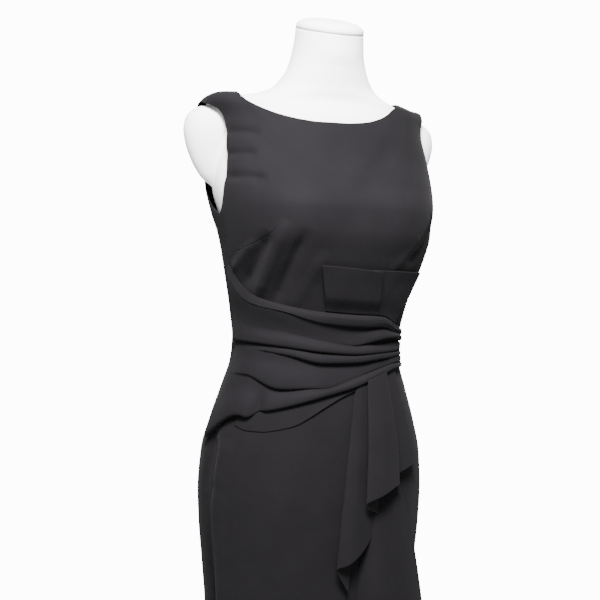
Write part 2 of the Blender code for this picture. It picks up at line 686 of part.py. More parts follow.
def make_bodice_back(name, side, collection):
    """One back panel: side -1 is the wearer's right. It is worked out at the right, then mirrored."""
    armhole_rows, side_rows, strap, neck = 10, 8, 3, 7
    shift = SEAM_GAP / 2
    low = WAIST + WAIST_GAP / 2
    side_angle = 180 - SIDE_SEAM + SEAM_ANGLE
    corner = -abs(SHOULDER_NECKS[0] if side < 0 else SHOULDER_NECKS[1])
    outer = down_edge(armhole(ARMHOLE_BACK, -1, shift), armhole_rows, side_rows, side_angle, low)
    across = [row.across * corner for row in NECKLINE_BACK]
    neckline = GOWN.front_at(across, [row.height for row in NECKLINE_BACK], -1.0)
    neckline = np.concatenate([neckline, shoulder(corner, shift)[None]])
    strap_line = [shoulder(x, shift) for x in np.linspace(corner, -SHOULDER_TIP, strap + 1)]
    top = np.concatenate([along(neckline, neck + 1), strap_line[1:]])
    centre = GOWN.front_at(-SEAM_GAP / 2, np.linspace(NECKLINE_BACK[0].height, low, len(outer)), -1.0)
    bottom = GOWN.at(np.linspace(270 - SEAM_ANGLE, side_angle, len(top)), low)
    grid = GOWN.lifted(GOWN.settle(patch(top, bottom, centre, outer)), EASE)
    grid[:, 0, 0] = -SEAM_GAP / 2
    wall(name, swayed(grid if side < 0 else mirrored(grid)), CREPE, collection)


# ---- skirt -----------------------------------------------------------------------------------------


def flute_lift(angle, height):
    """How far the skirt's soft flutes raise it: more towards the hem."""
    low = np.clip((0.98 - height) / (0.98 - HEM), 0, 1)
    rise = np.zeros(np.broadcast(angle, height).shape)
    for flute in SKIRT_FLUTES:
        middle = flute.hip_angle + (flute.hem_angle - flute.hip_angle) * low
        size = flute.hip_rise * np.sqrt(low) * (1 - low) + flute.hem_rise * low**1.6
        rise = rise + size * np.exp(-(((angle - middle) / flute.half_width) ** 2))
    return rise


def skirt_panel(name, angles, rows, collection):
    high = WAIST - WAIST_GAP / 2
    share = np.linspace(0, 1, rows)
    heights = (high + (HEM - high) * (0.45 * share + 0.55 * share**2))[:, None]
    angles = np.asarray(angles)[None, :]
    rise = np.maximum(flute_lift(angles, heights), -0.0120)
    return wall(name, lifted_at(angles, heights, EASE + rise), CREPE, collection)


def make_skirt(collection):
    front = np.linspace(180 - SIDE_SEAM - SEAM_ANGLE, SIDE_SEAM + SEAM_ANGLE, 23)
    back_right = np.linspace(270 - SEAM_ANGLE, 180 - SIDE_SEAM + SEAM_ANGLE, 13)
    back_left = np.linspace(360 + SIDE_SEAM - SEAM_ANGLE, 270 + SEAM_ANGLE, 13)
    skirt_panel("skirt_front", front, 19, collection)
    skirt_panel("skirt_back_right", back_right, 17, collection)
    skirt_panel("skirt_back_left", back_left, 17, collection)


# ---- waist drape, underlap and tab -----------------------------------------------------------------


def station_curve(values):
    return smooth_through(STATIONS, values)


LINES = {row.name: station_curve(row.heights) for row in FOLD_LINES}


def make_waist_drape(collection):
    angles = np.linspace(DRAPE_END, GATHER_ANGLE, 22)
    top = LINES["top"](angles) - CREPE
    # The top edge is rolled over, so it starts as a narrow ledge.
    heights, lifts = [top, top - 0.0003], [np.full(len(angles), OVER_PANEL)]
    lifts.append(OVER_PANEL + station_curve(BANDS[0].depths)(angles) * 0.25)
    root = np.zeros(len(angles))
    for k, band in enumerate(BANDS):
        upper, lower = LINES[FOLD_LINES[k].name](angles), LINES[FOLD_LINES[k + 1].name](angles)
        depth = station_curve(band.depths)(angles)
        crease = station_curve(FOLD_LINES[k + 1].creases)(angles)
        for fall in BAND_FALL[1 if k == 0 else 0 :]:
            heights.append(upper + (lower - upper) * fall.down)
            lifts.append(OVER_PANEL + root + (depth - root) * fall.proud)
        heights.append(upper + (lower - upper) * BAND_LIP.down)
        lifts.append(OVER_PANEL + depth * (1 - (1 - BAND_LIP.proud) * crease))
        root = depth * (1 - crease)
    # The lower edge is turned under.
    heights.append(LINES["edge"](angles) + 0.0012)
    lifts.append(OVER_PANEL + depth * 0.35)
    grid = lifted_at(angles[None, :], np.array(heights), np.array(lifts))
    return wall("waist_drape", grid, CREPE, collection)


def make_underlap(collection):
    seam = smooth_through([row.turn for row in UNDERLAP_SEAM], [row.height for row in UNDERLAP_SEAM])
    angles = np.linspace(UNDERLAP_SEAM[0].turn, UNDERLAP_SEAM[-1].turn, 15)
    low = seam(angles)
    high = np.maximum(LINES["edge"](angles) + 0.0012, low + 0.0030)
    share = np.linspace(0, 1, 4)[:, None]
    grid = lifted_at(angles[None, :], high + (low - high) * share, 0.0031)
    return wall("drape_underlap", grid, UNDERLAP_CREPE, collection)


def tab_grid(panel, rows, columns):
    u = np.linspace(0, 1, columns)[None, :]
    v = np.linspace(0, 1, rows)[:, None]
    foot_angles = panel.foot_angles[0] + (panel.foot_angles[1] - panel.foot_angles[0]) * u
    foot_heights = LINES["top"](foot_angles) + TAB_CLEAR
    top_angles = panel.top_angles[0] + (panel.top_angles[1] - panel.top_angles[0]) * u
    top_heights = panel.top_heights[0] + (panel.top_heights[1] - panel.top_heights[0]) * u
    top_lifts = panel.top_lifts[0] + (panel.top_lifts[1] - panel.top_lifts[0]) * u**2
    foot_lifts = panel.foot_lifts[0] + (panel.foot_lifts[1] - panel.foot_lifts[0]) * u
    angles = top_angles + (foot_angles - top_angles) * v
    heights = top_heights + (foot_heights - top_heights) * v
    lifts = top_lifts + (foot_lifts - top_lifts) * v**0.8
    return lifted_at(angles, heights, lifts)


def make_tab(collection):
    wall("tab_wide", tab_grid(TAB_WIDE, 7, 9), FOLDED_CREPE, collection)
    wall("tab_narrow", tab_grid(TAB_NARROW, 7, 9), FOLDED_CREPE, collection)


# ---- cascade ---------------------------------------------------------------------------------------


def cascade_grid(folds, rows, steps, under_drape):
    """A sheet through S folds, smooth across them and bowed down them."""
    place = np.arange(len(folds))
    fine = np.linspace(0, len(folds) - 1, steps * (len(folds) - 1) + 1)
    fold = Fold(None, *(smooth_through(place, [row[k] for row in folds])(fine) for k in range(1, 8)))
    high = LINES["edge"](fold.angle) - UNDER_EDGE if under_drape else fold.height
    share = np.linspace(0, 1, rows)[:, None]
    angle = fold.angle + (fold.hem_angle - fold.angle) * share**fold.bow
    height = high + (fold.hem_height - high) * share
    lift = fold.lift + (fold.hem_lift - fold.lift) * share
    return lifted_at(angle, height, lift)[:, ::-1]


def make_cascade(collection):
    wall("cascade_upper", cascade_grid(CASCADE_UPPER, 12, 2, True), FLOUNCE_CREPE, collection)
    wall("cascade_middle", cascade_grid(CASCADE_MIDDLE, 11, 3, False), FLOUNCE_CREPE, collection)
    wall("cascade_lower", cascade_grid(CASCADE_LOWER, 11, 3, False), FLOUNCE_CREPE, collection)


# ---- zip -------------------------------------------------------------------------------------------


def zip_frame():
    """A frame on the cloth at the centre back: X across, Y out of the cloth, Z up along it."""
    ground = GOWN.front_at(0.0, SLIDER_HEIGHT, -1.0)
    out = GOWN.normal(ground + np.array([0.0003, 0.0, 0.0]))
    lean = math.atan2(out[2], out[1])
    origin = ground + np.array([0.0, math.cos(lean), math.sin(lean)]) * SLIDER_LIFT
    return Matrix.Translation(origin.tolist()) @ Matrix.Rotation(lean, 4, "X")


def flat_plate(name, splines, thickness, material, collection):
    """A plate in the XZ plane of its own frame, from outlines, of which an inner one is a hole."""
    curve = bpy.data.curves.new(name, "CURVE")
    curve.dimensions = "2D"
    curve.fill_mode = "BOTH"
    curve.extrude = thickness / 2
    for outline in splines:
        spline = curve.splines.new("POLY")
        spline.points.add(len(outline) - 1)
        for point, (x, z) in zip(spline.points, outline):
            point.co = (x, z, 0.0, 1.0)
        spline.use_cyclic_u = True
    holder = add_object(name + "_outline", curve, None, collection)
    mesh = as_mesh(holder)
    bpy.data.objects.remove(holder)
    mesh.transform(Matrix.Rotation(math.radians(90), 4, "X"))
    return add_object(name, mesh, material, collection)


def ring_points(centre, radius, start, end, count):
    """Points on an arc in the XZ plane, angles in degrees."""
    turns = [math.radians(start + (end - start) * i / (count - 1)) for i in range(count)]
    return [(centre[0] + radius * math.cos(t), centre[1] + radius * math.sin(t)) for t in turns]


def make_zip(collection, helpers):
    place = zip_frame()
    width, thick, tall = SLIDER_SIZE
    cage = bmesh.new()
    bmesh.ops.create_cube(cage, size=1.0)
    bmesh.ops.scale(cage, vec=(width, thick, tall), verts=cage.verts)
    bmesh.ops.translate(cage, vec=(0.0, thick / 2, 0.0), verts=cage.verts)
    bmesh.ops.bevel(cage, geom=cage.edges[:], offset=SLIDER_BEVEL, segments=2, affect="EDGES")
    mesh = bpy.data.meshes.new("zip_slider")
    cage.to_mesh(mesh)
    cage.free()
    mesh.transform(place)
    slider = add_object("zip_slider", mesh, "zip_metal", collection)

    # The bridge that the pull hangs on: two short legs and a half ring.
    legs = thick + BRIDGE_LEG
    foot = thick - BRIDGE_FOOT
    arc = [(legs + y, -x) for x, y in ring_points((0.0, 0.0), BRIDGE_RADIUS, 0, 180, 9)]
    route = [(foot, -BRIDGE_RADIUS)] + arc + [(foot, BRIDGE_RADIUS)]
    curve = bpy.data.curves.new("zip_bridge", "CURVE")
    curve.dimensions = "3D"
    curve.bevel_depth = BRIDGE_WIRE
    curve.bevel_resolution = 1
    curve.use_fill_caps = True
    spline = curve.splines.new("POLY")
    spline.points.add(len(route) - 1)
    for point, (y, z) in zip(spline.points, route):
        point.co = (0.0, y, z, 1.0)
    wire = add_object("zip_bridge_wire", curve, None, helpers)
    mesh = as_mesh(wire)
    bpy.data.objects.remove(wire)
    mesh.transform(place)
    bridge = add_object("zip_bridge", mesh, None, helpers)
    bridge.hide_render = True
    bridge.display_type = "WIRE"
    unite(slider, bridge)

    # The pull hangs on the bridge, in line with the cloth, and turns about the half ring's middle.
    tip = ring_points((0.0, -PULL_LENGTH + PULL_TIP), PULL_TIP, 180, 360, 9)
    head = ring_points((0.0, -BRIDGE_RADIUS), PULL_HEAD, 0, 180, 9)
    hole = ring_points((0.0, -BRIDGE_RADIUS), PULL_HOLE, 0, 360, 13)[:-1]
    pull = flat_plate("zip_pull", [head + tip, hole], PULL_THICK, "zip_metal", collection)
    pull.data.transform(place @ Matrix.Translation((0.0, legs, 0.0)))


# ---- dress form and stand --------------------------------------------------------------------------


def form_ring(section_height, angles):
    ring = FORM.at(angles, section_height)
    slanted = np.clip((section_height - NECK_SLANT_FROM) / NECK_SLANT_OVER, 0, 1)
    ring[:, 2] += slanted * NECK_SLANT * (ring[:, 1] - NECK_MIDDLE)
    return swayed(ring, strap_rises=False)


def make_form(collection, helpers):
    angles = np.linspace(360, 0, FORM_STEPS, endpoint=False)
    heights = [row.height for row in FORM_SECTIONS][::-1]
    rings = np.array([form_ring(height, angles) for height in heights])
    torso = stacked("form_torso", rings, "form_cloth", collection)
    for side, name in ((-1, "cap_right"), (1, "cap_left")):
        cap = turned(name, CAP_PROFILE, 18, None, helpers)
        cap.location = (side * CAP_ACROSS + CAP_SWAY, CAP_BACK, 0.0)
        cap.scale = (1.0, CAP_FLATNESS, 1.0)
        cap.hide_render = True
        cap.display_type = "WIRE"
        unite(torso, cap)

    # A shallow dome closes the neck.
    base = form_ring(heights[0], angles)
    middle = base.mean(0)
    up = np.array([0.0, -math.sin(NECK_LEAN), math.cos(NECK_LEAN)])
    rings = np.array([middle + (base - middle) * row.share + up * row.rise for row in NECK_DOME])
    stacked("form_neck_cap", rings, "form_cloth", collection)


def make_stand(collection):
    turned("stand_base", BASE_PROFILE, 32, "stand_metal", collection)
    turned("stand_socket", SOCKET_PROFILE, 24, "stand_metal", collection)
    low = BASE_PROFILE[0].height + SEAM_GAP
    high = SOCKET_PROFILE[-1].height - SEAM_GAP
    cage = bmesh.new()
    bmesh.ops.create_cone(
        cage, cap_ends=True, segments=24, radius1=POLE_RADIUS, radius2=POLE_RADIUS, depth=high - low
    )
    bmesh.ops.translate(cage, vec=(0.0, 0.0, (high + low) / 2), verts=cage.verts)
    mesh = bpy.data.meshes.new("stand_pole")
    cage.to_mesh(mesh)
    cage.free()
    add_object("stand_pole", mesh, "stand_metal", collection)


def main():
    for old in list(bpy.data.objects):
        bpy.data.objects.remove(old)
    gown = bpy.data.collections.new("evening_gown_on_form")
    helpers = bpy.data.collections.new("helpers")
    for collection in (gown, helpers):
        bpy.context.scene.collection.children.link(collection)
    make_bodice_front(gown)
    make_bodice_back("bodice_back_right", -1, gown)
    make_bodice_back("bodice_back_left", 1, gown)
    make_skirt(gown)
    make_waist_drape(gown)
    make_underlap(gown)
    make_tab(gown)
    make_cascade(gown)
    make_zip(gown, helpers)
    make_form(gown, helpers)
    make_stand(gown)


main()
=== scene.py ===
# %% [markdown]
# # A black crepe evening gown on its dress form
# A long sleeveless gown hangs from the shoulders of a limbless form. Its bodice and skirt are cut to
# the body, and over them a waist drape is gathered at the wearer's left hip, where a cascade falls.
# Each cloth piece is rebuilt here from the same body sections as its plain solid, on a fine grid that
# can carry folds, seams and a rolled edge.

# %% Load the frame
import math
from collections import namedtuple

import bpy
import numpy as np
from mathutils import Matrix, Vector


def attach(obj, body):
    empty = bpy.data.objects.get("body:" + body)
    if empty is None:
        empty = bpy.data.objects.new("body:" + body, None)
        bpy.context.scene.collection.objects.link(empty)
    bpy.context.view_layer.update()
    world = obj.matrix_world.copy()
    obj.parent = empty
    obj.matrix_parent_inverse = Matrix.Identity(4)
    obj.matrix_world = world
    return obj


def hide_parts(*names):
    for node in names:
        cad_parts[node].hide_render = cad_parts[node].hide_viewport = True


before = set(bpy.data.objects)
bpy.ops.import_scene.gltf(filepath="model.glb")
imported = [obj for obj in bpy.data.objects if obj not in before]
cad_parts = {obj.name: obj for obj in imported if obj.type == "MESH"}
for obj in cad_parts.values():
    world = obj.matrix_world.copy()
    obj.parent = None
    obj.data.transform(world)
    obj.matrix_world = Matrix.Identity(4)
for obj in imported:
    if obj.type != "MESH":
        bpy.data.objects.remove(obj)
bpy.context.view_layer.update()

scene = bpy.context.scene

# %% [markdown]
# ## The camera
# The picture was taken level, at chest height, from 19 degrees to the wearer's right, and tilted by
# one and a half degrees. One way is to aim at a target and roll the camera. Here its three axes are
# written out instead, because they say at once how far to the side it stands and how it is tilted.

# %% Camera
TURN = math.radians(-19.0)
TILT = math.radians(1.5)
DISTANCE = 1.7
SENSOR = 36.0
SEEN_HALF_WIDTH = 0.4615
AIM = (-0.024, 1.169)

back = Vector((math.sin(TURN), -math.cos(TURN), 0.0))
level_right = Vector((math.cos(TURN), math.sin(TURN), 0.0))
up = Vector((0.0, 0.0, 1.0))
across_frame = level_right * math.cos(TILT) + up * math.sin(TILT)
up_frame = up * math.cos(TILT) - level_right * math.sin(TILT)

lens = bpy.data.cameras.new("Camera")
lens.sensor_width = SENSOR
lens.sensor_fit = "HORIZONTAL"
lens.lens = SENSOR * DISTANCE / (2 * SEEN_HALF_WIDTH)
lens.clip_start = 0.05
camera = bpy.data.objects.new("Camera", lens)
place = level_right * AIM[0] + back * DISTANCE + up * AIM[1]
camera.matrix_world = Matrix(
    [(across_frame[i], up_frame[i], back[i], place[i]) for i in range(3)] + [(0.0, 0.0, 0.0, 1.0)]
)
scene.collection.objects.link(camera)
scene.camera = camera
print("camera at", [round(value, 3) for value in place], "lens", round(lens.lens, 1), "mm")

# %% [markdown]
# ## Small helpers for node trees
# A material is a graph of nodes. Written out in full, each node and wire takes several lines and
# hides what the graph is for. These helpers make one node each and return the output that is used.
# A number that is the same all over a surface is set on the shader's own socket, and only what
# varies is wired to it.

# %% Node helpers
def wire(tree, node, **sources):
    """Wires into the named sockets; an underscore stands for a space."""
    for socket, source in sources.items():
        tree.links.new(source, node.inputs[socket.replace("_", " ")])


def new_material(name, **settings):
    material = bpy.data.materials.new(name)
    material.use_nodes = True
    shader = material.node_tree.nodes["Principled BSDF"]
    for socket, value in settings.items():
        shader.inputs[socket.replace("_", " ")].default_value = value
    return material, material.node_tree, shader


def on_object(tree):
    return tree.nodes.new("ShaderNodeTexCoord").outputs["Object"]


def group_sockets(group, inputs, outputs):
    for name, kind, value in inputs:
        socket = group.interface.new_socket(name, in_out="INPUT", socket_type=kind)
        if value is not None:
            socket.default_value = value
    for name, kind in outputs:
        group.interface.new_socket(name, in_out="OUTPUT", socket_type=kind)
    return group.nodes.new("NodeGroupInput"), group.nodes.new("NodeGroupOutput")


def math_node(tree, operation, first, second, third=None, clamp=False):
    node = tree.nodes.new("ShaderNodeMath")
    node.operation = operation
    node.use_clamp = clamp
    for socket, value in zip(node.inputs, (first, second, third)):
        if isinstance(value, (int, float)):
            socket.default_value = value
        elif value is not None:
            tree.links.new(value, socket)
    return node.outputs[0]


def mix_colour(tree, share, first, second):
    node = tree.nodes.new("ShaderNodeMix")
    node.data_type = "RGBA"
    wire(tree, node, Factor=share)
    for socket, value in ((node.inputs[6], first), (node.inputs[7], second)):
        if isinstance(value, tuple):
            socket.default_value = (*value, 1.0)
        else:
            tree.links.new(value, socket)
    return node.outputs[2]


print("helpers", [helper.__name__ for helper in (wire, new_material, math_node, mix_colour)])

# %% Helpers for patterns
def noise(tree, where, size, detail=2.0, roughness=0.5):
    """Unevenness of about this size in metres."""
    node = tree.nodes.new("ShaderNodeTexNoise")
    node.inputs["Scale"].default_value = 1.0 / size
    node.inputs["Detail"].default_value = detail
    node.inputs["Roughness"].default_value = roughness
    wire(tree, node, Vector=where)
    return node.outputs["Fac"]


def scaled(tree, where, scale):
    node = tree.nodes.new("ShaderNodeMapping")
    node.inputs["Scale"].default_value = scale
    wire(tree, node, Vector=where)
    return node.outputs["Vector"]


def bump(tree, height, distance, strength, normal=None):
    node = tree.nodes.new("ShaderNodeBump")
    node.inputs["Distance"].default_value = distance
    node.inputs["Strength"].default_value = strength
    wire(tree, node, Height=height)
    if normal is not None:
        wire(tree, node, Normal=normal)
    return node.outputs["Normal"]


print("pattern helpers", [helper.__name__ for helper in (noise, scaled, bump)])

# %% [markdown]
# ## Floor and light
# A white studio sweep, one large soft light high in front and a weak fill. The high light is what
# draws the folds: it catches the top of each one and leaves the tuck beneath it dark. The sweep's
# brightness is for the eye alone, so that black cloth isn't washed grey by a white room.

# %% Lights
Lamp = namedtuple("Lamp", "name place aim size power")
LAMPS = (
    Lamp("Key light", (-0.44, -1.18, 2.38), (0.0, -0.1, 1.85), (0.6, 0.6), 205.0),
    Lamp("Fill light", (-2.6, -2.2, 1.5), (0.0, 0.0, 1.0), (1.6, 2.2), 22.0),
    Lamp("Back light", (1.2, 2.4, 2.6), (0.0, 0.0, 1.0), (1.6, 1.6), 150.0),
)


def make_lamp(lamp):
    light = bpy.data.lights.new(lamp.name, "AREA")
    light.shape = "RECTANGLE"
    light.size, light.size_y = lamp.size
    light.energy = lamp.power
    holder = bpy.data.objects.new(lamp.name, light)
    holder.location = lamp.place
    aim = Vector(lamp.aim) - Vector(lamp.place)
    holder.rotation_euler = aim.to_track_quat("-Z", "Y").to_euler()
    scene.collection.objects.link(holder)
    return holder


for lamp in LAMPS:
    make_lamp(lamp)
print("lights", [lamp.name for lamp in LAMPS])

# %% Room and floor
WHITE = (1.0, 1.0, 1.0, 1.0)
ROOM_LIGHT = 0.55
SWEEP_WHITE = 13.0
FLOOR_RADIUS = 1.15
FLOOR_STEPS = 64
PAPER_CLOUD = 1 / 9
PAPER_TONES = ((0.82, 0.82, 0.82), (0.88, 0.88, 0.875))


def plain_light(tree, strength):
    light = tree.nodes.new("ShaderNodeBackground")
    light.inputs["Color"].default_value = WHITE
    light.inputs["Strength"].default_value = strength
    return light.outputs[0]


def make_room():
    world = bpy.data.worlds.new("Studio")
    world.use_nodes = True
    tree = world.node_tree
    tree.nodes.clear()
    seen = tree.nodes.new("ShaderNodeLightPath")
    choose = tree.nodes.new("ShaderNodeMixShader")
    out = tree.nodes.new("ShaderNodeOutputWorld")
    tree.links.new(seen.outputs["Is Camera Ray"], choose.inputs[0])
    tree.links.new(plain_light(tree, ROOM_LIGHT), choose.inputs[1])
    tree.links.new(plain_light(tree, SWEEP_WHITE), choose.inputs[2])
    wire(tree, out, Surface=choose.outputs[0])
    scene.world = world


def make_floor():
    turns = [2 * math.pi * step / FLOOR_STEPS for step in range(FLOOR_STEPS)]
    points = [(FLOOR_RADIUS * math.cos(turn), FLOOR_RADIUS * math.sin(turn), 0.0) for turn in turns]
    mesh = bpy.data.meshes.new("floor")
    mesh.from_pydata(points, [], [tuple(range(FLOOR_STEPS))])
    floor = bpy.data.objects.new("floor", mesh)
    scene.collection.objects.link(floor)
    paper, tree, shader = new_material("sweep_paper", Roughness=0.7)
    cloud = noise(tree, on_object(tree), PAPER_CLOUD)
    wire(tree, shader, Base_Color=mix_colour(tree, cloud, *PAPER_TONES))
    mesh.materials.append(paper)


make_room()
make_floor()
print("room light", ROOM_LIGHT, "floor radius", FLOOR_RADIUS)

# %% [markdown]
# ## The body under the cloth
# A gown takes its shape from the body, so every piece below is placed by an angle round the body, a
# height, and a lift off the skin. Angle 0 is the wearer's left, 90 the front and 180 the right. The
# skin runs smoothly through level sections, each a squared ellipse, with two mounds for the bust.

# %% Sections of the gown
Section = namedtuple("Section", "height half_width front back side front_square back_square")
GOWN_SECTIONS = (
    Section(0.020, 0.205, 0.185, 0.205, 0.000, 2.1, 2.1),
    Section(0.250, 0.172, 0.145, 0.160, 0.000, 2.1, 2.1),
    Section(0.480, 0.155, 0.118, 0.128, 0.001, 2.2, 2.2),
    Section(0.600, 0.152, 0.113, 0.121, 0.002, 2.2, 2.2),
    Section(0.700, 0.156, 0.114, 0.122, 0.003, 2.2, 2.2),
    Section(0.780, 0.163, 0.116, 0.127, 0.004, 2.2, 2.2),
    Section(0.835, 0.1685, 0.117, 0.130, 0.005, 2.2, 2.2),
    Section(0.885, 0.171, 0.117, 0.130, 0.006, 2.2, 2.2),
    Section(0.940, 0.168, 0.115, 0.124, 0.005, 2.2, 2.2),
    Section(0.990, 0.156, 0.112, 0.110, 0.002, 2.2, 2.2),
    Section(1.040, 0.140, 0.106, 0.099, -0.001, 2.2, 2.2),
    Section(1.080, 0.1285, 0.100, 0.092, -0.003, 2.2, 2.2),
    Section(1.110, 0.1262, 0.098, 0.090, -0.004, 2.2, 2.2),
    Section(1.150, 0.132, 0.106, 0.088, -0.009, 2.2, 2.2),
    Section(1.190, 0.1405, 0.121, 0.086, -0.015, 2.25, 2.2),
    Section(1.230, 0.149, 0.137, 0.086, -0.022, 2.35, 2.3),
    Section(1.270, 0.158, 0.147, 0.090, -0.025, 2.4, 2.4),
    Section(1.300, 0.1655, 0.147, 0.099, -0.019, 2.4, 2.6),
    Section(1.340, 0.1715, 0.131, 0.109, -0.009, 2.3, 2.9),
    Section(1.380, 0.172, 0.111, 0.113, 0.000, 2.2, 3.1),
    Section(1.420, 0.170, 0.098, 0.107, 0.006, 2.2, 3.0),
    Section(1.440, 0.173, 0.090, 0.100, 0.010, 2.2, 2.8),
    Section(1.454, 0.1765, 0.084, 0.091, 0.012, 2.2, 2.5),
    Section(1.462, 0.1745, 0.080, 0.085, 0.011, 2.2, 2.3),
    Section(1.4675, 0.163, 0.078, 0.080, 0.009, 2.1, 2.2),
    Section(1.4705, 0.148, 0.077, 0.077, 0.006, 2.1, 2.1),
    Section(1.4735, 0.130, 0.076, 0.074, 0.003, 2.0, 2.0),
    Section(1.479, 0.106, 0.0755, 0.067, -0.001, 2.0, 2.0),
    Section(1.488, 0.086, 0.075, 0.058, -0.007, 2.0, 2.0),
    Section(1.500, 0.072, 0.074, 0.052, -0.011, 2.0, 2.0),
)
print("gown sections", len(GOWN_SECTIONS))

# %% Sections of the form
FORM_SECTIONS = (
    Section(0.800, 0.140, 0.092, 0.104, 0.005, 2.2, 2.2),
    Section(0.812, 0.153, 0.102, 0.115, 0.005, 2.2, 2.2),
    Section(0.840, 0.160, 0.108, 0.121, 0.005, 2.2, 2.2),
    Section(0.885, 0.163, 0.109, 0.122, 0.006, 2.2, 2.2),
    Section(0.940, 0.160, 0.107, 0.116, 0.005, 2.2, 2.2),
    Section(0.990, 0.148, 0.104, 0.102, 0.002, 2.2, 2.2),
    Section(1.040, 0.132, 0.098, 0.091, -0.001, 2.2, 2.2),
    Section(1.080, 0.1215, 0.092, 0.084, -0.003, 2.2, 2.2),
    Section(1.110, 0.1195, 0.090, 0.082, -0.004, 2.2, 2.2),
    Section(1.150, 0.124, 0.098, 0.080, -0.009, 2.2, 2.2),
    Section(1.190, 0.1325, 0.112, 0.078, -0.015, 2.2, 2.2),
    Section(1.230, 0.141, 0.127, 0.078, -0.022, 2.2, 2.2),
    Section(1.270, 0.149, 0.136, 0.082, -0.024, 2.2, 2.3),
    Section(1.300, 0.159, 0.135, 0.089, -0.018, 2.2, 2.4),
    Section(1.340, 0.166, 0.119, 0.097, -0.009, 2.2, 2.6),
    Section(1.380, 0.164, 0.101, 0.098, 0.000, 2.1, 2.6),
    Section(1.420, 0.161, 0.089, 0.092, 0.006, 2.1, 2.4),
    Section(1.440, 0.162, 0.083, 0.086, 0.009, 2.1, 2.3),
    Section(1.452, 0.164, 0.077, 0.072, 0.010, 2.0, 2.0),
    Section(1.460, 0.166, 0.072, 0.063, 0.010, 2.0, 2.0),
    Section(1.466, 0.158, 0.070, 0.057, 0.008, 2.0, 2.0),
    Section(1.4695, 0.1455, 0.070, 0.053, 0.005, 2.0, 2.0),
    Section(1.4725, 0.1280, 0.071, 0.051, 0.002, 2.0, 2.0),
    Section(1.478, 0.1050, 0.072, 0.050, -0.003, 2.0, 2.0),
    Section(1.487, 0.084, 0.073, 0.053, -0.009, 2.0, 2.0),
    Section(1.500, 0.071, 0.0755, 0.046, -0.015, 2.0, 2.0),
    Section(1.520, 0.060, 0.079, 0.034, -0.022, 2.0, 2.0),
    Section(1.550, 0.053, 0.083, 0.026, -0.028, 2.0, 2.0),
    Section(1.575, 0.051, 0.085, 0.023, -0.031, 2.0, 2.0),
)
Bust = namedtuple("Bust", "across height half_width half_height rise")
BUST = Bust(0.088, 1.292, 0.062, 0.055, 0.014)
FORM_BUST_RISE = 0.010
print("form sections", len(FORM_SECTIONS), "bust rise", BUST.rise)

# %% [markdown]
# ## Curves that keep to their table
# A plain cubic through measured rows swings past them, and a swing of one millimetre shows as a bump
# in black cloth. The slopes here are the harmonic means of the steps on both sides, which never
# overshoot. Blender's own curves could do it by hand, but a table can be read and changed.

# %% Smooth curves through a table
def smooth_through(places, values):
    """A cubic through the rows of a table that never overshoots them."""
    places = np.asarray(places, float)
    values = np.asarray(values, float)
    if places[0] > places[-1]:
        places, values = places[::-1], values[::-1]
    steps = np.diff(places)
    rates = np.diff(values) / steps
    slopes = np.zeros(len(places))
    slopes[0], slopes[-1] = rates[0], rates[-1]
    for i in range(1, len(places) - 1):
        if rates[i - 1] * rates[i] > 0:
            before = 2 * steps[i] + steps[i - 1]
            after = steps[i] + 2 * steps[i - 1]
            slopes[i] = (before + after) / (before / rates[i - 1] + after / rates[i])

    def read(place):
        place = np.clip(np.asarray(place, float), places[0], places[-1])
        i = np.clip(np.searchsorted(places, place, side="right") - 1, 0, len(places) - 2)
        t = (place - places[i]) / steps[i]
        start = values[i] * (1 + 2 * t) * (1 - t) ** 2 + slopes[i] * steps[i] * t * (1 - t) ** 2
        end = values[i + 1] * t * t * (3 - 2 * t) + slopes[i + 1] * steps[i] * t * t * (t - 1)
        return start + end

    return read


print("a table read half way", float(smooth_through((0.0, 1.0, 2.0), (0.0, 1.0, 1.0))(0.5)))

# %% [markdown]
# ## The skin as a formula
# Every piece asks the same skin where it lies and which way is out. One could lay each piece on a
# mesh with a Shrinkwrap, but a formula is exact at any fineness, so neighbouring pieces meet.

# %% Skin through level sections
SETTLE_ROUNDS = 12
SETTLE_STEP = 0.8
SLOPE_REACH = 0.0004


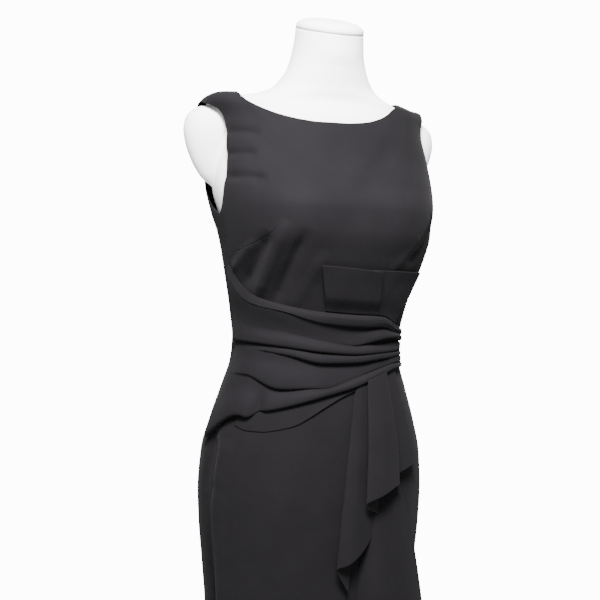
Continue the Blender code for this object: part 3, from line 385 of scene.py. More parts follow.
class Skin:
    """A closed skin through a table of level sections, each a squared ellipse."""

    def __init__(self, sections, bust):
        heights = [row.height for row in sections]
        self.bust = bust
        self.read = {
            name: smooth_through(heights, [getattr(row, name) for row in sections])
            for name in Section._fields[1:]
        }

    def mound(self, x, z):
        up = ((z - self.bust.height) / self.bust.half_height) ** 2
        across = ((x - side * self.bust.across) / self.bust.half_width for side in (-1, 1))
        return self.bust.rise * sum(np.exp(-(place**2) - up) for place in across)

    def shape(self, x, z, front):
        side = self.read["side"](z)
        ahead = self.read["front"](z) + side + self.mound(x, z)
        behind = self.read["back"](z) - side
        depth = np.where(front, ahead, behind)
        return depth, np.where(front, self.read["front_square"](z), self.read["back_square"](z))

    def at(self, angle, height):
        angle, height = np.broadcast_arrays(np.radians(angle), np.asarray(height, float))
        across, ahead = np.cos(angle), np.sin(angle)
        square = self.shape(0.0, height, ahead > 0)[1]
        reach = (np.abs(across) ** square + np.abs(ahead) ** square) ** (-1 / square)
        x = self.read["half_width"](height) * reach * across
        depth = self.shape(x, height, ahead > 0)[0]
        return np.stack([x, self.read["side"](height) - depth * reach * ahead, height], -1)

    def front_at(self, across, height, ahead=1.0):
        across, height = np.broadcast_arrays(np.asarray(across, float), np.asarray(height, float))
        depth, square = self.shape(across, height, ahead > 0)
        share = np.clip(1 - np.abs(across / self.read["half_width"](height)) ** square, 0, 1)
        y = self.read["side"](height) - ahead * depth * share ** (1 / square)
        return np.stack([across, y, height], -1)

    def outside(self, points):
        x, y, z = points[..., 0], points[..., 1], points[..., 2]
        side = self.read["side"](z)
        depth, square = self.shape(x, z, y < side)
        ring = np.abs(x / self.read["half_width"](z)) ** square + np.abs((y - side) / depth) ** square
        return ring ** (1 / square) - 1

    def gradient(self, points):
        shifts = np.eye(3) * SLOPE_REACH
        changes = [self.outside(points + shift) - self.outside(points - shift) for shift in shifts]
        return np.stack(changes, -1) / (2 * SLOPE_REACH)

    def normal(self, points):
        gradient = self.gradient(points)
        return gradient / np.linalg.norm(gradient, axis=-1, keepdims=True)

    def settle(self, points):
        """The points, each brought onto the skin."""
        for _ in range(SETTLE_ROUNDS):
            gradient = self.gradient(points)
            square = (gradient**2).sum(-1, keepdims=True)
            points = points - SETTLE_STEP * self.outside(points)[..., None] * gradient / square
        return points

    def lifted(self, points, lift):
        return points + self.normal(points) * np.broadcast_to(lift, points.shape[:-1])[..., None]


GOWN = Skin(GOWN_SECTIONS, BUST)
FORM = Skin(FORM_SECTIONS, BUST._replace(rise=FORM_BUST_RISE))


def lifted_at(angle, height, lift):
    """A point of the gown that stands off its skin."""
    angle, height, lift = np.broadcast_arrays(angle, height, lift)
    return GOWN.lifted(GOWN.at(angle, height), lift)


print("front of the waist at y", round(float(GOWN.at(90.0, 1.10)[1]), 4))

# %% [markdown]
# ## Cloth with a rolled edge
# A cut edge of crepe is turned under, so it ends in a soft roll that catches a thin line of light.
# Thickening a sheet alone leaves a square rim. Here each piece is a closed wall: its inner face, its
# outer face and an arc round the edge. Its cut is laid out in metres, which lets one weave at one
# scale run along every piece, straight on the body and on the bias in the drape and cascade.

# %% Cloth walls
CREPE = 0.0014
FLOUNCE_CREPE = 0.0013
FOLDED_CREPE = 0.0018
UNDERLAP_CREPE = 0.0010
EASE = 0.0010
EDGE_ROLL = 0.00045
ARC = (52.0, 0.0, -52.0)
CUT_PAST_EDGE = 0.0008


def grid_index(rows, columns):
    return np.arange(rows * columns).reshape(rows, columns)


def grid_quads(index):
    return np.stack([index[:-1, :-1], index[1:, :-1], index[1:, 1:], index[:-1, 1:]], -1).reshape(-1, 4)


def unit(vectors):
    return vectors / np.maximum(np.linalg.norm(vectors, axis=-1, keepdims=True), 1e-12)


def grid_normals(grid):
    down, across = np.gradient(grid, axis=0), np.gradient(grid, axis=1)
    return unit(np.cross(down, across))


def laid_out(grid, grain):
    """The cut in metres: distance across and down each point, turned to the grain."""
    across = np.linalg.norm(np.diff(grid, axis=1), axis=-1)
    down = np.linalg.norm(np.diff(grid, axis=0), axis=-1)
    u = np.concatenate([np.zeros((grid.shape[0], 1)), np.cumsum(across, axis=1)], 1)
    v = np.concatenate([np.zeros((1, grid.shape[1])), np.cumsum(down, axis=0)], 0)
    u = u - u[:, grid.shape[1] // 2][:, None]
    turn = math.radians(grain)
    along_weft = u * math.cos(turn) - v * math.sin(turn)
    along_warp = u * math.sin(turn) + v * math.cos(turn)
    return np.stack([along_weft, along_warp], -1)


def edge_loop(rows, columns):
    """Row and column of each edge point, and the way out of the sheet there as rows and columns."""
    top = [(0, c, -1, 0) for c in range(columns)]
    right = [(r, columns - 1, 0, 1) for r in range(1, rows)]
    bottom = [(rows - 1, c, 1, 0) for c in range(columns - 2, -1, -1)]
    left = [(r, 0, 0, -1) for r in range(rows - 2, 0, -1)]
    return np.array(top + right + bottom + left)


print("a 3 by 4 sheet has", len(grid_quads(grid_index(3, 4))), "faces")

# %% A mesh from points
def mesh_object(name, points, faces, material, cut=None, marks=()):
    mesh = bpy.data.meshes.new(name)
    mesh.from_pydata(points.tolist(), [], faces if isinstance(faces, list) else faces.tolist())
    mesh.shade_smooth()
    if cut is not None:
        layer = mesh.uv_layers.new(name="Cut")
        corners = np.empty(len(mesh.loops), np.int32)
        mesh.loops.foreach_get("vertex_index", corners)
        layer.data.foreach_set("uv", cut[corners].astype(np.float32).ravel())
    for mark, values in marks:
        field = mesh.attributes.new(mark, "FLOAT", "POINT")
        field.data.foreach_set("value", values.astype(np.float32))
    mesh.materials.append(material)
    piece = bpy.data.objects.new(name, mesh)
    scene.collection.objects.link(piece)
    return piece


WALLS = (CREPE, FLOUNCE_CREPE, FOLDED_CREPE, UNDERLAP_CREPE)
print("walls of crepe, flounce, folded tab and underlap", WALLS)

# %% The cloth wall
def cloth(name, sheet, thickness, material, grain=0.0, marks=()):
    """A closed cloth wall on the outside of a sheet, with a roll round its edge."""
    rows, columns = sheet.shape[:2]
    normals = grid_normals(sheet)
    cut = laid_out(sheet, grain)
    loop = edge_loop(rows, columns)
    r, c = loop[:, 0], loop[:, 1]
    inward = sheet[np.clip(r - loop[:, 2], 0, rows - 1), np.clip(c - loop[:, 3], 0, columns - 1)]
    out = sheet[r, c] - inward
    for corner_r, corner_c in ((0, 0), (0, columns - 1), (rows - 1, 0), (rows - 1, columns - 1)):
        k = np.flatnonzero((r == corner_r) & (c == corner_c))[0]
        diagonal = sheet[1 if corner_r == 0 else rows - 2, 1 if corner_c == 0 else columns - 2]
        out[k] = sheet[corner_r, corner_c] - diagonal
    edge_normal = normals[r, c]
    out = unit(out - (out * edge_normal).sum(-1, keepdims=True) * edge_normal)
    inner = sheet.copy()
    inner[r, c] -= out * EDGE_ROLL
    outer = inner + normals * thickness
    middle = inner[r, c] + edge_normal * thickness / 2
    index = grid_index(rows, columns)
    points = [inner.reshape(-1, 3), outer.reshape(-1, 3)]
    loops = [index[r, c] + rows * columns]
    start = 2 * rows * columns
    for angle in ARC:
        reach = math.cos(math.radians(angle)) * EDGE_ROLL
        rise = math.sin(math.radians(angle)) * thickness / 2
        points.append(middle + out * reach + edge_normal * rise)
        loops.append(np.arange(start, start + len(r)))
        start += len(r)
    loops.append(index[r, c])
    faces = [grid_quads(index)[:, ::-1], grid_quads(index) + rows * columns]
    for near, far in zip(loops[:-1], loops[1:]):
        faces.append(np.stack([near, np.roll(near, -1), np.roll(far, -1), far], -1))
    cut_out = loop[:, [3, 2]] * CUT_PAST_EDGE
    flat = cut.reshape(-1, 2)
    cuts = [flat, flat] + [cut[r, c] + cut_out * (k + 1) / 3 for k in range(len(ARC))]
    fields = []
    for mark, values in marks:
        edge_values = values[r, c]
        fields.append((mark, np.concatenate([values.ravel()] * 2 + [edge_values] * len(ARC))))
    return mesh_object(
        name, np.concatenate(points), np.concatenate(faces), material, np.concatenate(cuts), fields
    )


print("edge roll", EDGE_ROLL, "on", len(ARC), "steps")

# %% Edges, patches and unevenness
WAVE_COUNT = 7
WAVE_SPREAD = 4.0


def along(points, count):
    """The same line through points, with evenly spaced ones."""
    points = np.asarray(points)
    run = np.concatenate([[0], np.cumsum(np.linalg.norm(np.diff(points, axis=0), axis=1))])
    share = np.linspace(0, run[-1], count)
    return np.stack([smooth_through(run, points[:, k])(share) for k in range(3)], -1)


def patch(top, bottom, left, right):
    """A sheet between four edges: top row first, columns left to right as seen from outside."""
    v = np.linspace(0, 1, len(left))[:, None, None]
    u = np.linspace(0, 1, len(top))[None, :, None]
    across = (1 - v) * top[None] + v * bottom[None]
    down = (1 - u) * left[:, None] + u * right[:, None]
    corners = (1 - v) * ((1 - u) * top[0] + u * top[-1]) + v * ((1 - u) * bottom[0] + u * bottom[-1])
    return across + down - corners


def mirrored(grid):
    return (grid * np.array([-1.0, 1.0, 1.0]))[:, ::-1]


def waves(points, length, seed):
    """Slow smooth unevenness from -1 to 1, about this length from crest to crest."""
    chance = np.random.default_rng(seed)
    total = 0.0
    for _ in range(WAVE_COUNT):
        way = chance.normal(size=3)
        way = way / np.linalg.norm(way) * chance.uniform(0.7, 1.4) * 2 * math.pi / length
        total = total + np.sin(points @ way + chance.uniform(0, 2 * math.pi))
    return total / WAVE_SPREAD


print("waves summed for unevenness", WAVE_COUNT)

# %% [markdown]
# ## Crepe
# Crepe is woven from hard-twisted yarn, which buckles into a fine dry pebble and takes away the
# shine. Up close there are three sizes in it: the yarns, the pebble, and slow clouds where the dye
# and the press lie a little unevenly. They are made once, in a group that gives a colour, a
# roughness and a normal, so all pieces share one cloth. Its faint bloom at glancing angles is the
# shader's own sheen.

# %% Crepe weave
YARN = 0.00034
PEBBLE = 0.0011
CLOUD = 0.055
RELIEF = 0.00016
YARN_ACROSS = (0.12, 1.0, 1.0)
YARN_DOWN = (1.0, 0.12, 1.0)
DYE = (0.0056, 0.0050, 0.0058)
DYE_PALE = (0.0083, 0.0075, 0.0087)
DYE_DEEP = (0.0040, 0.0036, 0.0042)


def crepe_group():
    tree = bpy.data.node_groups.new("crepe_weave", "ShaderNodeTree")
    given, made = group_sockets(
        tree,
        [("Cut", "NodeSocketVector", None)],
        [
            ("Colour", "NodeSocketColor"),
            ("Roughness", "NodeSocketFloat"),
            ("Normal", "NodeSocketVector"),
        ],
    )
    cut = given.outputs["Cut"]
    warp = noise(tree, scaled(tree, cut, YARN_DOWN), YARN, 1.0)
    weft = noise(tree, scaled(tree, cut, YARN_ACROSS), YARN, 1.0)
    yarns = math_node(tree, "ADD", warp, weft)
    pebble = noise(tree, cut, PEBBLE, 3.0, 0.6)
    clouds = noise(tree, cut, CLOUD, 3.0, 0.5)
    height = math_node(tree, "MULTIPLY_ADD", yarns, 0.35, pebble)
    normal = bump(tree, height, RELIEF, 0.55)
    grain = math_node(tree, "MULTIPLY_ADD", height, 2.4, -1.5, clamp=True)
    cloud_tone = mix_colour(tree, clouds, DYE_DEEP, DYE_PALE)
    yarn_tone = mix_colour(tree, grain, DYE, DYE_PALE)
    half = math_node(tree, "MULTIPLY", grain, 0.5)
    colour = mix_colour(tree, half, cloud_tone, yarn_tone)
    roughness = math_node(tree, "MULTIPLY_ADD", pebble, 0.22, 0.68)
    wire(tree, made, Colour=colour, Roughness=roughness, Normal=normal)
    return tree


CREPE_WEAVE = crepe_group()
print("weave group with", len(CREPE_WEAVE.nodes), "nodes")

# %% [markdown]
# ## Crepe on a piece, and the dart
# Each material reads its piece's cut in metres, so the yarns run with the piece. A bust dart is a
# stitched line where the cloth sinks. It is pressed in by the distance from the line, which each
# point of the bodice carries, because a dart is finer than the grid. Its valley also gets painted
# shade.

# %% Crepe material
DART_PAINTED_SHADE = (0.004, 0.0038, 0.004)
DART_HALF_WIDTH = 0.0011
DART_END = 0.004
DART_DEPTH = 0.0009


def crepe_material(name, dart=False):
    """Crepe on its piece's cut. With a dart, a narrow stitched valley is pressed in and painted darker
    as shade.
    """
    material, tree, shader = new_material(
        name,
        Specular_IOR_Level=0.05,
        Sheen_Weight=0.02,
        Sheen_Roughness=0.55,
        Sheen_Tint=(0.80, 0.78, 0.82, 1.0),
    )
    layer = tree.nodes.new("ShaderNodeUVMap")
    layer.uv_map = "Cut"
    weave = tree.nodes.new("ShaderNodeGroup")
    weave.node_tree = CREPE_WEAVE
    wire(tree, weave, Cut=layer.outputs["UV"])
    colour, normal = weave.outputs["Colour"], weave.outputs["Normal"]
    if dart:
        marks = {}
        for mark in ("dart_across", "dart_along"):
            node = tree.nodes.new("ShaderNodeAttribute")
            node.attribute_name = mark
            marks[mark] = node.outputs["Fac"]
        aside = math_node(tree, "ABSOLUTE", marks["dart_across"], None)
        near = math_node(tree, "MULTIPLY_ADD", aside, -1.0 / DART_HALF_WIDTH, 1.0, clamp=True)
        inside = math_node(tree, "MULTIPLY_ADD", marks["dart_along"], 1.0 / DART_END, 0.5, clamp=True)
        valley = math_node(tree, "MULTIPLY", near, inside)
        low = math_node(tree, "MULTIPLY", valley, -1.0)
        normal = bump(tree, low, DART_DEPTH, 1.0, normal)
        # Painted shade: the colour is darkened inside the dart's valley, as the shade that falls in the
        # crease.
        shade = math_node(tree, "MULTIPLY", valley, 0.75)
        colour = mix_colour(tree, shade, colour, DART_PAINTED_SHADE)
    wire(tree, shader, Base_Color=colour, Roughness=weave.outputs["Roughness"], Normal=normal)
    return material


CREPE_PLAIN = crepe_material("black_crepe")
CREPE_DARTED = crepe_material("black_crepe_with_dart", dart=True)
print("crepe materials", CREPE_PLAIN.name, CREPE_DARTED.name)

# %% [markdown]
# ## The bodice
# The front is one panel from strap to strap, shaped by a bust dart from each side seam. The cloth is
# a close fit, so it pulls: from the armhole towards the bust, and in slack folds from the bust's
# point down to the waist. Each pull is a soft ridge or valley along a line, added to the lift off
# the body. A simulation would find folds of its own; these are the ones that the real bodice shows.

# %% Seams and shoulders
WAIST = 1.095
SEAM_GAP = 0.0001
WAIST_GAP = 0.0001
SIDE_SEAM = 7.0
SEAM_ANGLE = 0.006
SHOULDER_NECKS = (-0.135, 0.114)
SHOULDER_TIP = 0.1730
SHOULDER_FROM = 1.454
# The shoulders sit a little over to the wearer's right and the left one is lower. The right strap
# rises and then droops off its cap: how much, by the place across the body.
Sway = namedtuple("Sway", "side shift heights across")
SWAYS = (
    Sway(-1, -0.0120, (1.430, 1.463), (0.095, 0.168)),
    Sway(1, -0.0090, (1.360, 1.450), (0.090, 0.160)),
)
CAP_SWAY = -0.0090
LEFT_DROP = -0.004
LEFT_DROP_HEIGHTS = (1.440, 1.466)
LEFT_DROP_START = (0.070, 0.108)
LEFT_DROP_END = (0.140, 0.168)
Rise = namedtuple("Rise", "across rise")
STRAP_RISE = (
    Rise(-0.1850, -0.0030),
    Rise(-0.1790, 0.0008),
    Rise(-0.1660, 0.0030),
    Rise(-0.1450, 0.0010),
    Rise(-0.1200, 0.0000),
)
STRAP_HEIGHTS = (1.425, 1.452)
print("seam gap", SEAM_GAP, "sways", len(SWAYS), "strap rise points", len(STRAP_RISE))

# %% Armholes and necklines
Edge = namedtuple("Edge", "height turn")
ARMHOLE_FRONT = (
    Edge(1.4580, 13.0),
    Edge(1.4440, 22.5),
    Edge(1.4130, 24.2),
    Edge(1.3830, 24.8),
    Edge(1.3460, 23.3),
    Edge(1.3240, 19.3),
    Edge(1.3030, 13.4),
    Edge(1.2920, 7.0),
)
ARMHOLE_BACK = (
    Edge(1.4560, 16.0),
    Edge(1.4400, 25.0),
    Edge(1.4100, 30.0),
    Edge(1.3800, 29.5),
    Edge(1.3480, 24.6),
    Edge(1.3220, 14.6),
    Edge(1.3020, 3.0),
    Edge(1.2920, -7.0),
)
Neck = namedtuple("Neck", "across height")
NECKLINE_FRONT = (
    Neck(-0.1370, 1.4670),
    Neck(-0.1305, 1.4570),
    Neck(-0.1150, 1.4464),
    Neck(-0.0914, 1.4363),
    Neck(-0.0640, 1.4298),
    Neck(-0.0350, 1.4270),
    Neck(0.0030, 1.4276),
    Neck(0.0350, 1.4312),
    Neck(0.0580, 1.4380),
    Neck(0.0760, 1.4478),
    Neck(0.0885, 1.4595),
    Neck(0.1010, 1.4690),
)
NECKLINE_BACK = (
    Neck(0.0010, 1.4480),
    Neck(0.3200, 1.4492),
    Neck(0.5600, 1.4530),
    Neck(0.7600, 1.4590),
    Neck(0.9300, 1.4670),
)
print("armhole points", len(ARMHOLE_FRONT), "and", len(ARMHOLE_BACK))

# %% Pulls and dart
Pull = namedtuple("Pull", "angle height to_angle to_height half_width rise")
PULL_FADE = 1.6
FRONT_PULLS = (
    Pull(124.5, 1.280, 146.0, 1.166, 0.0080, 0.0085),
    Pull(133.5, 1.264, 158.0, 1.182, 0.0095, -0.0075),
    Pull(115.0, 1.270, 135.0, 1.155, 0.0090, -0.0075),
    Pull(142.0, 1.254, 168.0, 1.208, 0.0065, 0.0036),
    Pull(104.0, 1.240, 124.0, 1.150, 0.0110, 0.0028),
    Pull(30.0, 1.302, 52.0, 1.226, 0.0095, -0.0062),
    Pull(42.0, 1.300, 64.0, 1.212, 0.0085, 0.0030),
    Pull(18.0, 1.290, 46.0, 1.160, 0.0090, 0.0050),
    Pull(158.0, 1.412, 132.0, 1.406, 0.0075, -0.0038),
    Pull(158.0, 1.378, 134.0, 1.376, 0.0065, -0.0036),
    Pull(158.0, 1.344, 130.0, 1.338, 0.0072, -0.0058),
    Pull(88.0, 1.310, 62.0, 1.412, 0.0180, -0.0022),
)
LOWEST_PULL = -0.0062
DART = ((174.4, 1.2248), (158.0, 1.2378), (142.1, 1.2504), (132.0, 1.2641), (129.7, 1.2710))
FRONT_SLACK = 0.0004
BACK_SLACK = (0.0004, 0.0005)
SLACK_LENGTHS = (0.075, 0.07)
BACK_LEAST = 0.0006
TAUT_BY_SEAM = 0.02
print("pulls", len(FRONT_PULLS), "dart points", len(DART))

# %% Shoulder and edge helpers
def ramp(value, ends):
    """0 before the first end, 1 after the second, smooth between them."""
    share = np.clip((value - ends[0]) / (ends[1] - ends[0]), 0, 1)
    return share * share * (3 - 2 * share)


def swayed(points, strap_rises=True):
    """Points of the shoulders, moved over to the wearer's right, and the left one lowered."""
    moved = np.array(points, float)
    x, z = points[..., 0], points[..., 2]
    for sway in SWAYS:
        moved[..., 0] += sway.shift * ramp(z, sway.heights) * ramp(x * sway.side, sway.across)
    drop = ramp(x, LEFT_DROP_START) * (1 - ramp(x, LEFT_DROP_END))
    moved[..., 2] += LEFT_DROP * drop * ramp(z, LEFT_DROP_HEIGHTS)
    if strap_rises:
        rise = smooth_through([row.across for row in STRAP_RISE], [row.rise for row in STRAP_RISE])
        moved[..., 2] += rise(moved[..., 0]) * ramp(z, STRAP_HEIGHTS)
    return moved


def shoulder(across, shift):
    """The point of the shoulder's ridge that lies this far across, moved a little along Y."""
    top = [row for row in GOWN_SECTIONS if row.height >= SHOULDER_FROM][::-1]
    height = float(np.interp(abs(across), [row.half_width for row in top], [row.height for row in top]))
    return np.array([across, float(GOWN.read["side"](height)) + shift, height])


def armhole(edges, side, shift):
    """From the shoulder's tip down the armhole to the underarm. side 1 is the wearer's left."""
    start = shoulder(side * SHOULDER_TIP, shift)
    forward = -math.copysign(1.0, shift)
    turns = np.array([row.turn for row in edges])
    turns[-1] += SEAM_ANGLE
    angles = forward * turns if side > 0 else 180.0 - forward * turns
    rest = GOWN.at(angles, np.array([row.height for row in edges]))
    return np.concatenate([start[None], rest])


def down_edge(line, armhole_rows, side_rows, angle, low):
    """The armhole's edge, then the side seam down to the waist."""
    underarm = line[-1][2]
    heights = np.linspace(underarm, low, side_rows + 1)[1:]
    return np.concatenate([along(line, armhole_rows + 1), GOWN.at(angle, heights)])


print("shoulder tip", shoulder(SHOULDER_TIP, 0.0).round(4))

# %% Soft lines on the cloth
def from_segment(points, start, end):
    """Distance from a straight line, and the share of the way along it."""
    line = end - start
    share = ((points - start) @ line) / (line @ line)
    near = start + np.clip(share, 0, 1)[..., None] * line
    return np.linalg.norm(points - near, axis=-1), share


def pulled(points, pulls):
    """How far the pulls raise or sink the cloth at each point."""
    lift = np.zeros(points.shape[:-1])
    for pull in pulls:
        start, end = GOWN.at(pull.angle, pull.height), GOWN.at(pull.to_angle, pull.to_height)
        distance, share = from_segment(points, start, end)
        fade = np.clip(np.sin(np.clip(share, 0, 1) * math.pi) * PULL_FADE, 0, 1)
        lift += pull.rise * fade * np.exp(-((distance / pull.half_width) ** 2))
    return lift


def from_line(points, line):
    """Signed distance from a line of points, and how far inside its ends each point is."""
    best = np.full(points.shape[:-1], np.inf)
    signed = np.full(points.shape[:-1], np.inf)
    inside = np.full(points.shape[:-1], -np.inf)
    lengths = np.linalg.norm(np.diff(line, axis=0), axis=1)
    total = lengths.sum()
    for k, length in enumerate(lengths):
        distance, share = from_segment(points, line[k], line[k + 1])
        side = np.cross(line[k + 1] - line[k], GOWN.normal(line[k] + 1e-5))
        sign = np.sign((points - line[k]) @ side)
        run = lengths[:k].sum() + share * length
        nearer = distance < best
        ends = np.minimum(run, total - run)
        signed = np.where(nearer, sign * distance, signed)
        inside = np.where(nearer, ends, inside)
        best = np.where(nearer, distance, best)
    return signed, inside


print("highest pull", max(pull.rise for pull in FRONT_PULLS), "lowest kept", LOWEST_PULL)

# %% Bodice panels
def make_bodice_front():
    armhole_rows, side_rows, strap, neck = 84, 82, 18, 122
    shift = -SEAM_GAP / 2
    low = WAIST + WAIST_GAP / 2
    angles = (180 - SIDE_SEAM - SEAM_ANGLE, SIDE_SEAM + SEAM_ANGLE)
    left, right = (
        down_edge(armhole(ARMHOLE_FRONT, side, shift), armhole_rows, side_rows, angle, low)
        for side, angle in zip((-1, 1), angles)
    )
    neckline = GOWN.front_at(*zip(*NECKLINE_FRONT))
    ends = [shoulder(across, shift) for across in SHOULDER_NECKS]
    neckline = np.concatenate([ends[0][None], neckline, ends[1][None]])
    straps = [
        np.array([shoulder(x, shift) for x in np.linspace(side * SHOULDER_TIP, across, strap + 1)])
        for side, across in zip((-1, 1), SHOULDER_NECKS)
    ]
    top = np.concatenate([straps[0][:-1], along(neckline, neck + 1), straps[1][::-1][1:]])
    bottom = GOWN.at(np.linspace(*angles, len(top)), low)
    sheet = GOWN.settle(patch(top, bottom, left, right))
    lift = EASE + pulled(sheet, FRONT_PULLS) + FRONT_SLACK * waves(sheet, SLACK_LENGTHS[0], 3)
    dart_line = np.array([GOWN.at(angle, height) for angle, height in DART])
    darts = [dart_line, dart_line * np.array([-1.0, 1.0, 1.0])]
    marks = [from_line(sheet, line) for line in darts]
    nearer = np.abs(marks[0][0]) < np.abs(marks[1][0])
    across = np.where(nearer, marks[0][0], marks[1][0])
    inside = np.where(nearer, marks[0][1], marks[1][1])
    return cloth(
        "bodice_front_cloth",
        swayed(GOWN.lifted(sheet, np.maximum(lift, LOWEST_PULL))),
        CREPE,
        CREPE_DARTED,
        marks=[("dart_across", across), ("dart_along", inside)],
    )


def make_bodice_back(name, side):
    armhole_rows, side_rows, strap, neck = 84, 70, 18, 46
    shift = SEAM_GAP / 2
    low = WAIST + WAIST_GAP / 2
    side_angle = 180 - SIDE_SEAM + SEAM_ANGLE
    corner = -abs(SHOULDER_NECKS[0] if side < 0 else SHOULDER_NECKS[1])
    outer = down_edge(armhole(ARMHOLE_BACK, -1, shift), armhole_rows, side_rows, side_angle, low)
    across = [row.across * corner for row in NECKLINE_BACK]
    neckline = GOWN.front_at(across, [row.height for row in NECKLINE_BACK], -1.0)
    neckline = np.concatenate([neckline, shoulder(corner, shift)[None]])
    strap_line = [shoulder(x, shift) for x in np.linspace(corner, -SHOULDER_TIP, strap + 1)]
    top = np.concatenate([along(neckline, neck + 1), strap_line[1:]])
    centre = GOWN.front_at(-SEAM_GAP / 2, np.linspace(NECKLINE_BACK[0].height, low, len(outer)), -1.0)
    bottom = GOWN.at(np.linspace(270 - SEAM_ANGLE, side_angle, len(top)), low)
    sheet = GOWN.settle(patch(top, bottom, centre, outer))
    free = np.clip(np.abs(sheet[..., 0]) / TAUT_BY_SEAM, 0, 1)
    slack = BACK_SLACK[0] + BACK_SLACK[1] * waves(sheet, SLACK_LENGTHS[1], 5 + side)
    grid = GOWN.lifted(sheet, np.maximum(EASE + free * slack, BACK_LEAST))
    grid[:, 0, 0] = -SEAM_GAP / 2
    return cloth(name, swayed(grid if side < 0 else mirrored(grid)), CREPE, CREPE_PLAIN)


bodice = [
    make_bodice_front(),
    make_bodice_back("bodice_back_right_cloth", -1),
    make_bodice_back("bodice_back_left_cloth", 1),
]
for piece, node in zip(bodice, ("bodice_front", "bodice_back_right", "bodice_back_left")):
    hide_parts(node)
print("bodice", [len(piece.data.polygons) for piece in bodice], "faces")

# %% [markdown]
# ## The skirt
# Three panels hang from the waist seam and fall into soft flutes towards the hem. The flutes are
# added as rises at chosen angles that grow downwards. The side seams pucker a little, because a long
# seam in crepe is always drawn up slightly by its thread.

# %% Flutes and soft folds
HEM = 0.032
FLUTES_FROM = 0.98
Flute = namedtuple("Flute", "hip_angle hem_angle half_width hip_rise hem_rise")
SKIRT_FLUTES = (
    Flute(160.0, 171.0, 6.0, 0.0045, 0.0160),
    Flute(153.0, 163.0, 4.5, 0.0060, 0.0040),
    Flute(166.5, 175.0, 5.5, -0.0420, -0.0080),
    Flute(147.0, 150.0, 7.0, -0.0010, -0.0100),
    Flute(122.0, 126.0, 10.0, 0.0015, 0.0160),
    Flute(104.0, 104.0, 8.0, -0.0005, -0.0110),
    Flute(22.0, 18.0, 7.0, 0.0010, 0.0130),
    Flute(200.0, 203.0, 9.0, -0.0010, -0.0110),
    Flute(222.0, 224.0, 9.0, 0.0015, 0.0170),
    Flute(246.0, 247.0, 8.0, -0.0010, -0.0110),
    Flute(294.0, 293.0, 8.0, -0.0010, -0.0110),
    Flute(318.0, 316.0, 9.0, 0.0015, 0.0170),
    Flute(340.0, 338.0, 9.0, -0.0010, -0.0110),
)
# A soft fold by the right side seam: it drops from the drape and runs out over the seam.
SKIRT_PULLS = (
    Pull(152.5, 0.965, 156.0, 0.890, 0.0120, 0.0030),
    Pull(156.0, 0.890, 171.0, 0.765, 0.0130, 0.0032),
    Pull(163.5, 0.965, 168.0, 0.880, 0.0120, -0.0070),
)
DEEPEST_OVER_FORM = -0.0074
SOFT_FLOOR = 0.0020
# Below the form's rim there is room, so the valleys may sink further.
DEEPER_BELOW = -0.0050
RIM_HEIGHTS = (0.80, 0.70)
HANGS_BELOW = 1.02
HANG_GROWS_OVER = 0.2
SEAM_FADE = 8.0
SLACK = 0.0007
SLACK_LENGTH = 0.05
SLACK_DRAWN = np.array([1.0, 1.0, 0.22])
PUCKER = 0.00035
PUCKER_PITCH = 0.019
PUCKER_REACH = 3.0
FLAT_BY_WAIST = 0.02
HEM_GROWTH = 1.6
ROWS_CLOSER = 0.28
print("flutes", len(SKIRT_FLUTES), "soft folds", len(SKIRT_PULLS))

# %% Skirt panels
def flute_lift(angle, height):
    """How far the skirt's soft flutes raise it: more towards the hem."""
    low = np.clip((FLUTES_FROM - height) / (FLUTES_FROM - HEM), 0, 1)
    rise = np.zeros(np.broadcast(angle, height).shape)
    for flute in SKIRT_FLUTES:
        middle = flute.hip_angle + (flute.hem_angle - flute.hip_angle) * low
        size = flute.hip_rise * np.sqrt(low) * (1 - low) + flute.hem_rise * low**HEM_GROWTH
        apart = (angle - middle + 180) % 360 - 180
        rise = rise + size * np.exp(-((apart / flute.half_width) ** 2))
    return rise


def skirt_sheet(panel, heights, columns):
    """A panel's inner face at these heights."""
    angles = np.linspace(panel.start, panel.end, columns)[None, :]
    below_rim = 1 - ramp(heights, RIM_HEIGHTS[::-1])
    floor = DEEPEST_OVER_FORM + DEEPER_BELOW * below_rim
    ground = GOWN.at(angles, heights)
    over = flute_lift(angles, heights) + pulled(ground, SKIRT_PULLS) - floor
    rise = floor + (over + np.hypot(over, SOFT_FLOOR)) / 2
    from_seam = np.minimum(np.abs(angles - panel.start), np.abs(panel.end - angles))
    hang = np.clip((HANGS_BELOW - heights) / HANG_GROWS_OVER, 0, 1)
    hang = hang * np.clip(from_seam / SEAM_FADE, 0, 1)
    slack = SLACK * hang * waves(ground * SLACK_DRAWN, SLACK_LENGTH, panel.seed)
    turns = heights * 2 * math.pi / PUCKER_PITCH + 2 * waves(ground, 0.1, 9)
    pucker = PUCKER * np.exp(-from_seam / PUCKER_REACH) * np.sin(turns)
    lift = EASE + rise + (slack + pucker) * np.clip((SKIRT_TOP - heights) / FLAT_BY_WAIST, 0, 1)
    return GOWN.lifted(ground, lift)


def skirt_panel(panel):
    """A panel from the waist to the hem; its rows lie closer together near the waist."""
    share = np.linspace(0, 1, panel.rows)
    down = (1 - ROWS_CLOSER) * share + ROWS_CLOSER * share**2
    heights = (SKIRT_TOP + (HEM - SKIRT_TOP) * down)[:, None]
    return cloth(panel.name + "_cloth", skirt_sheet(panel, heights, panel.columns), CREPE, CREPE_PLAIN)


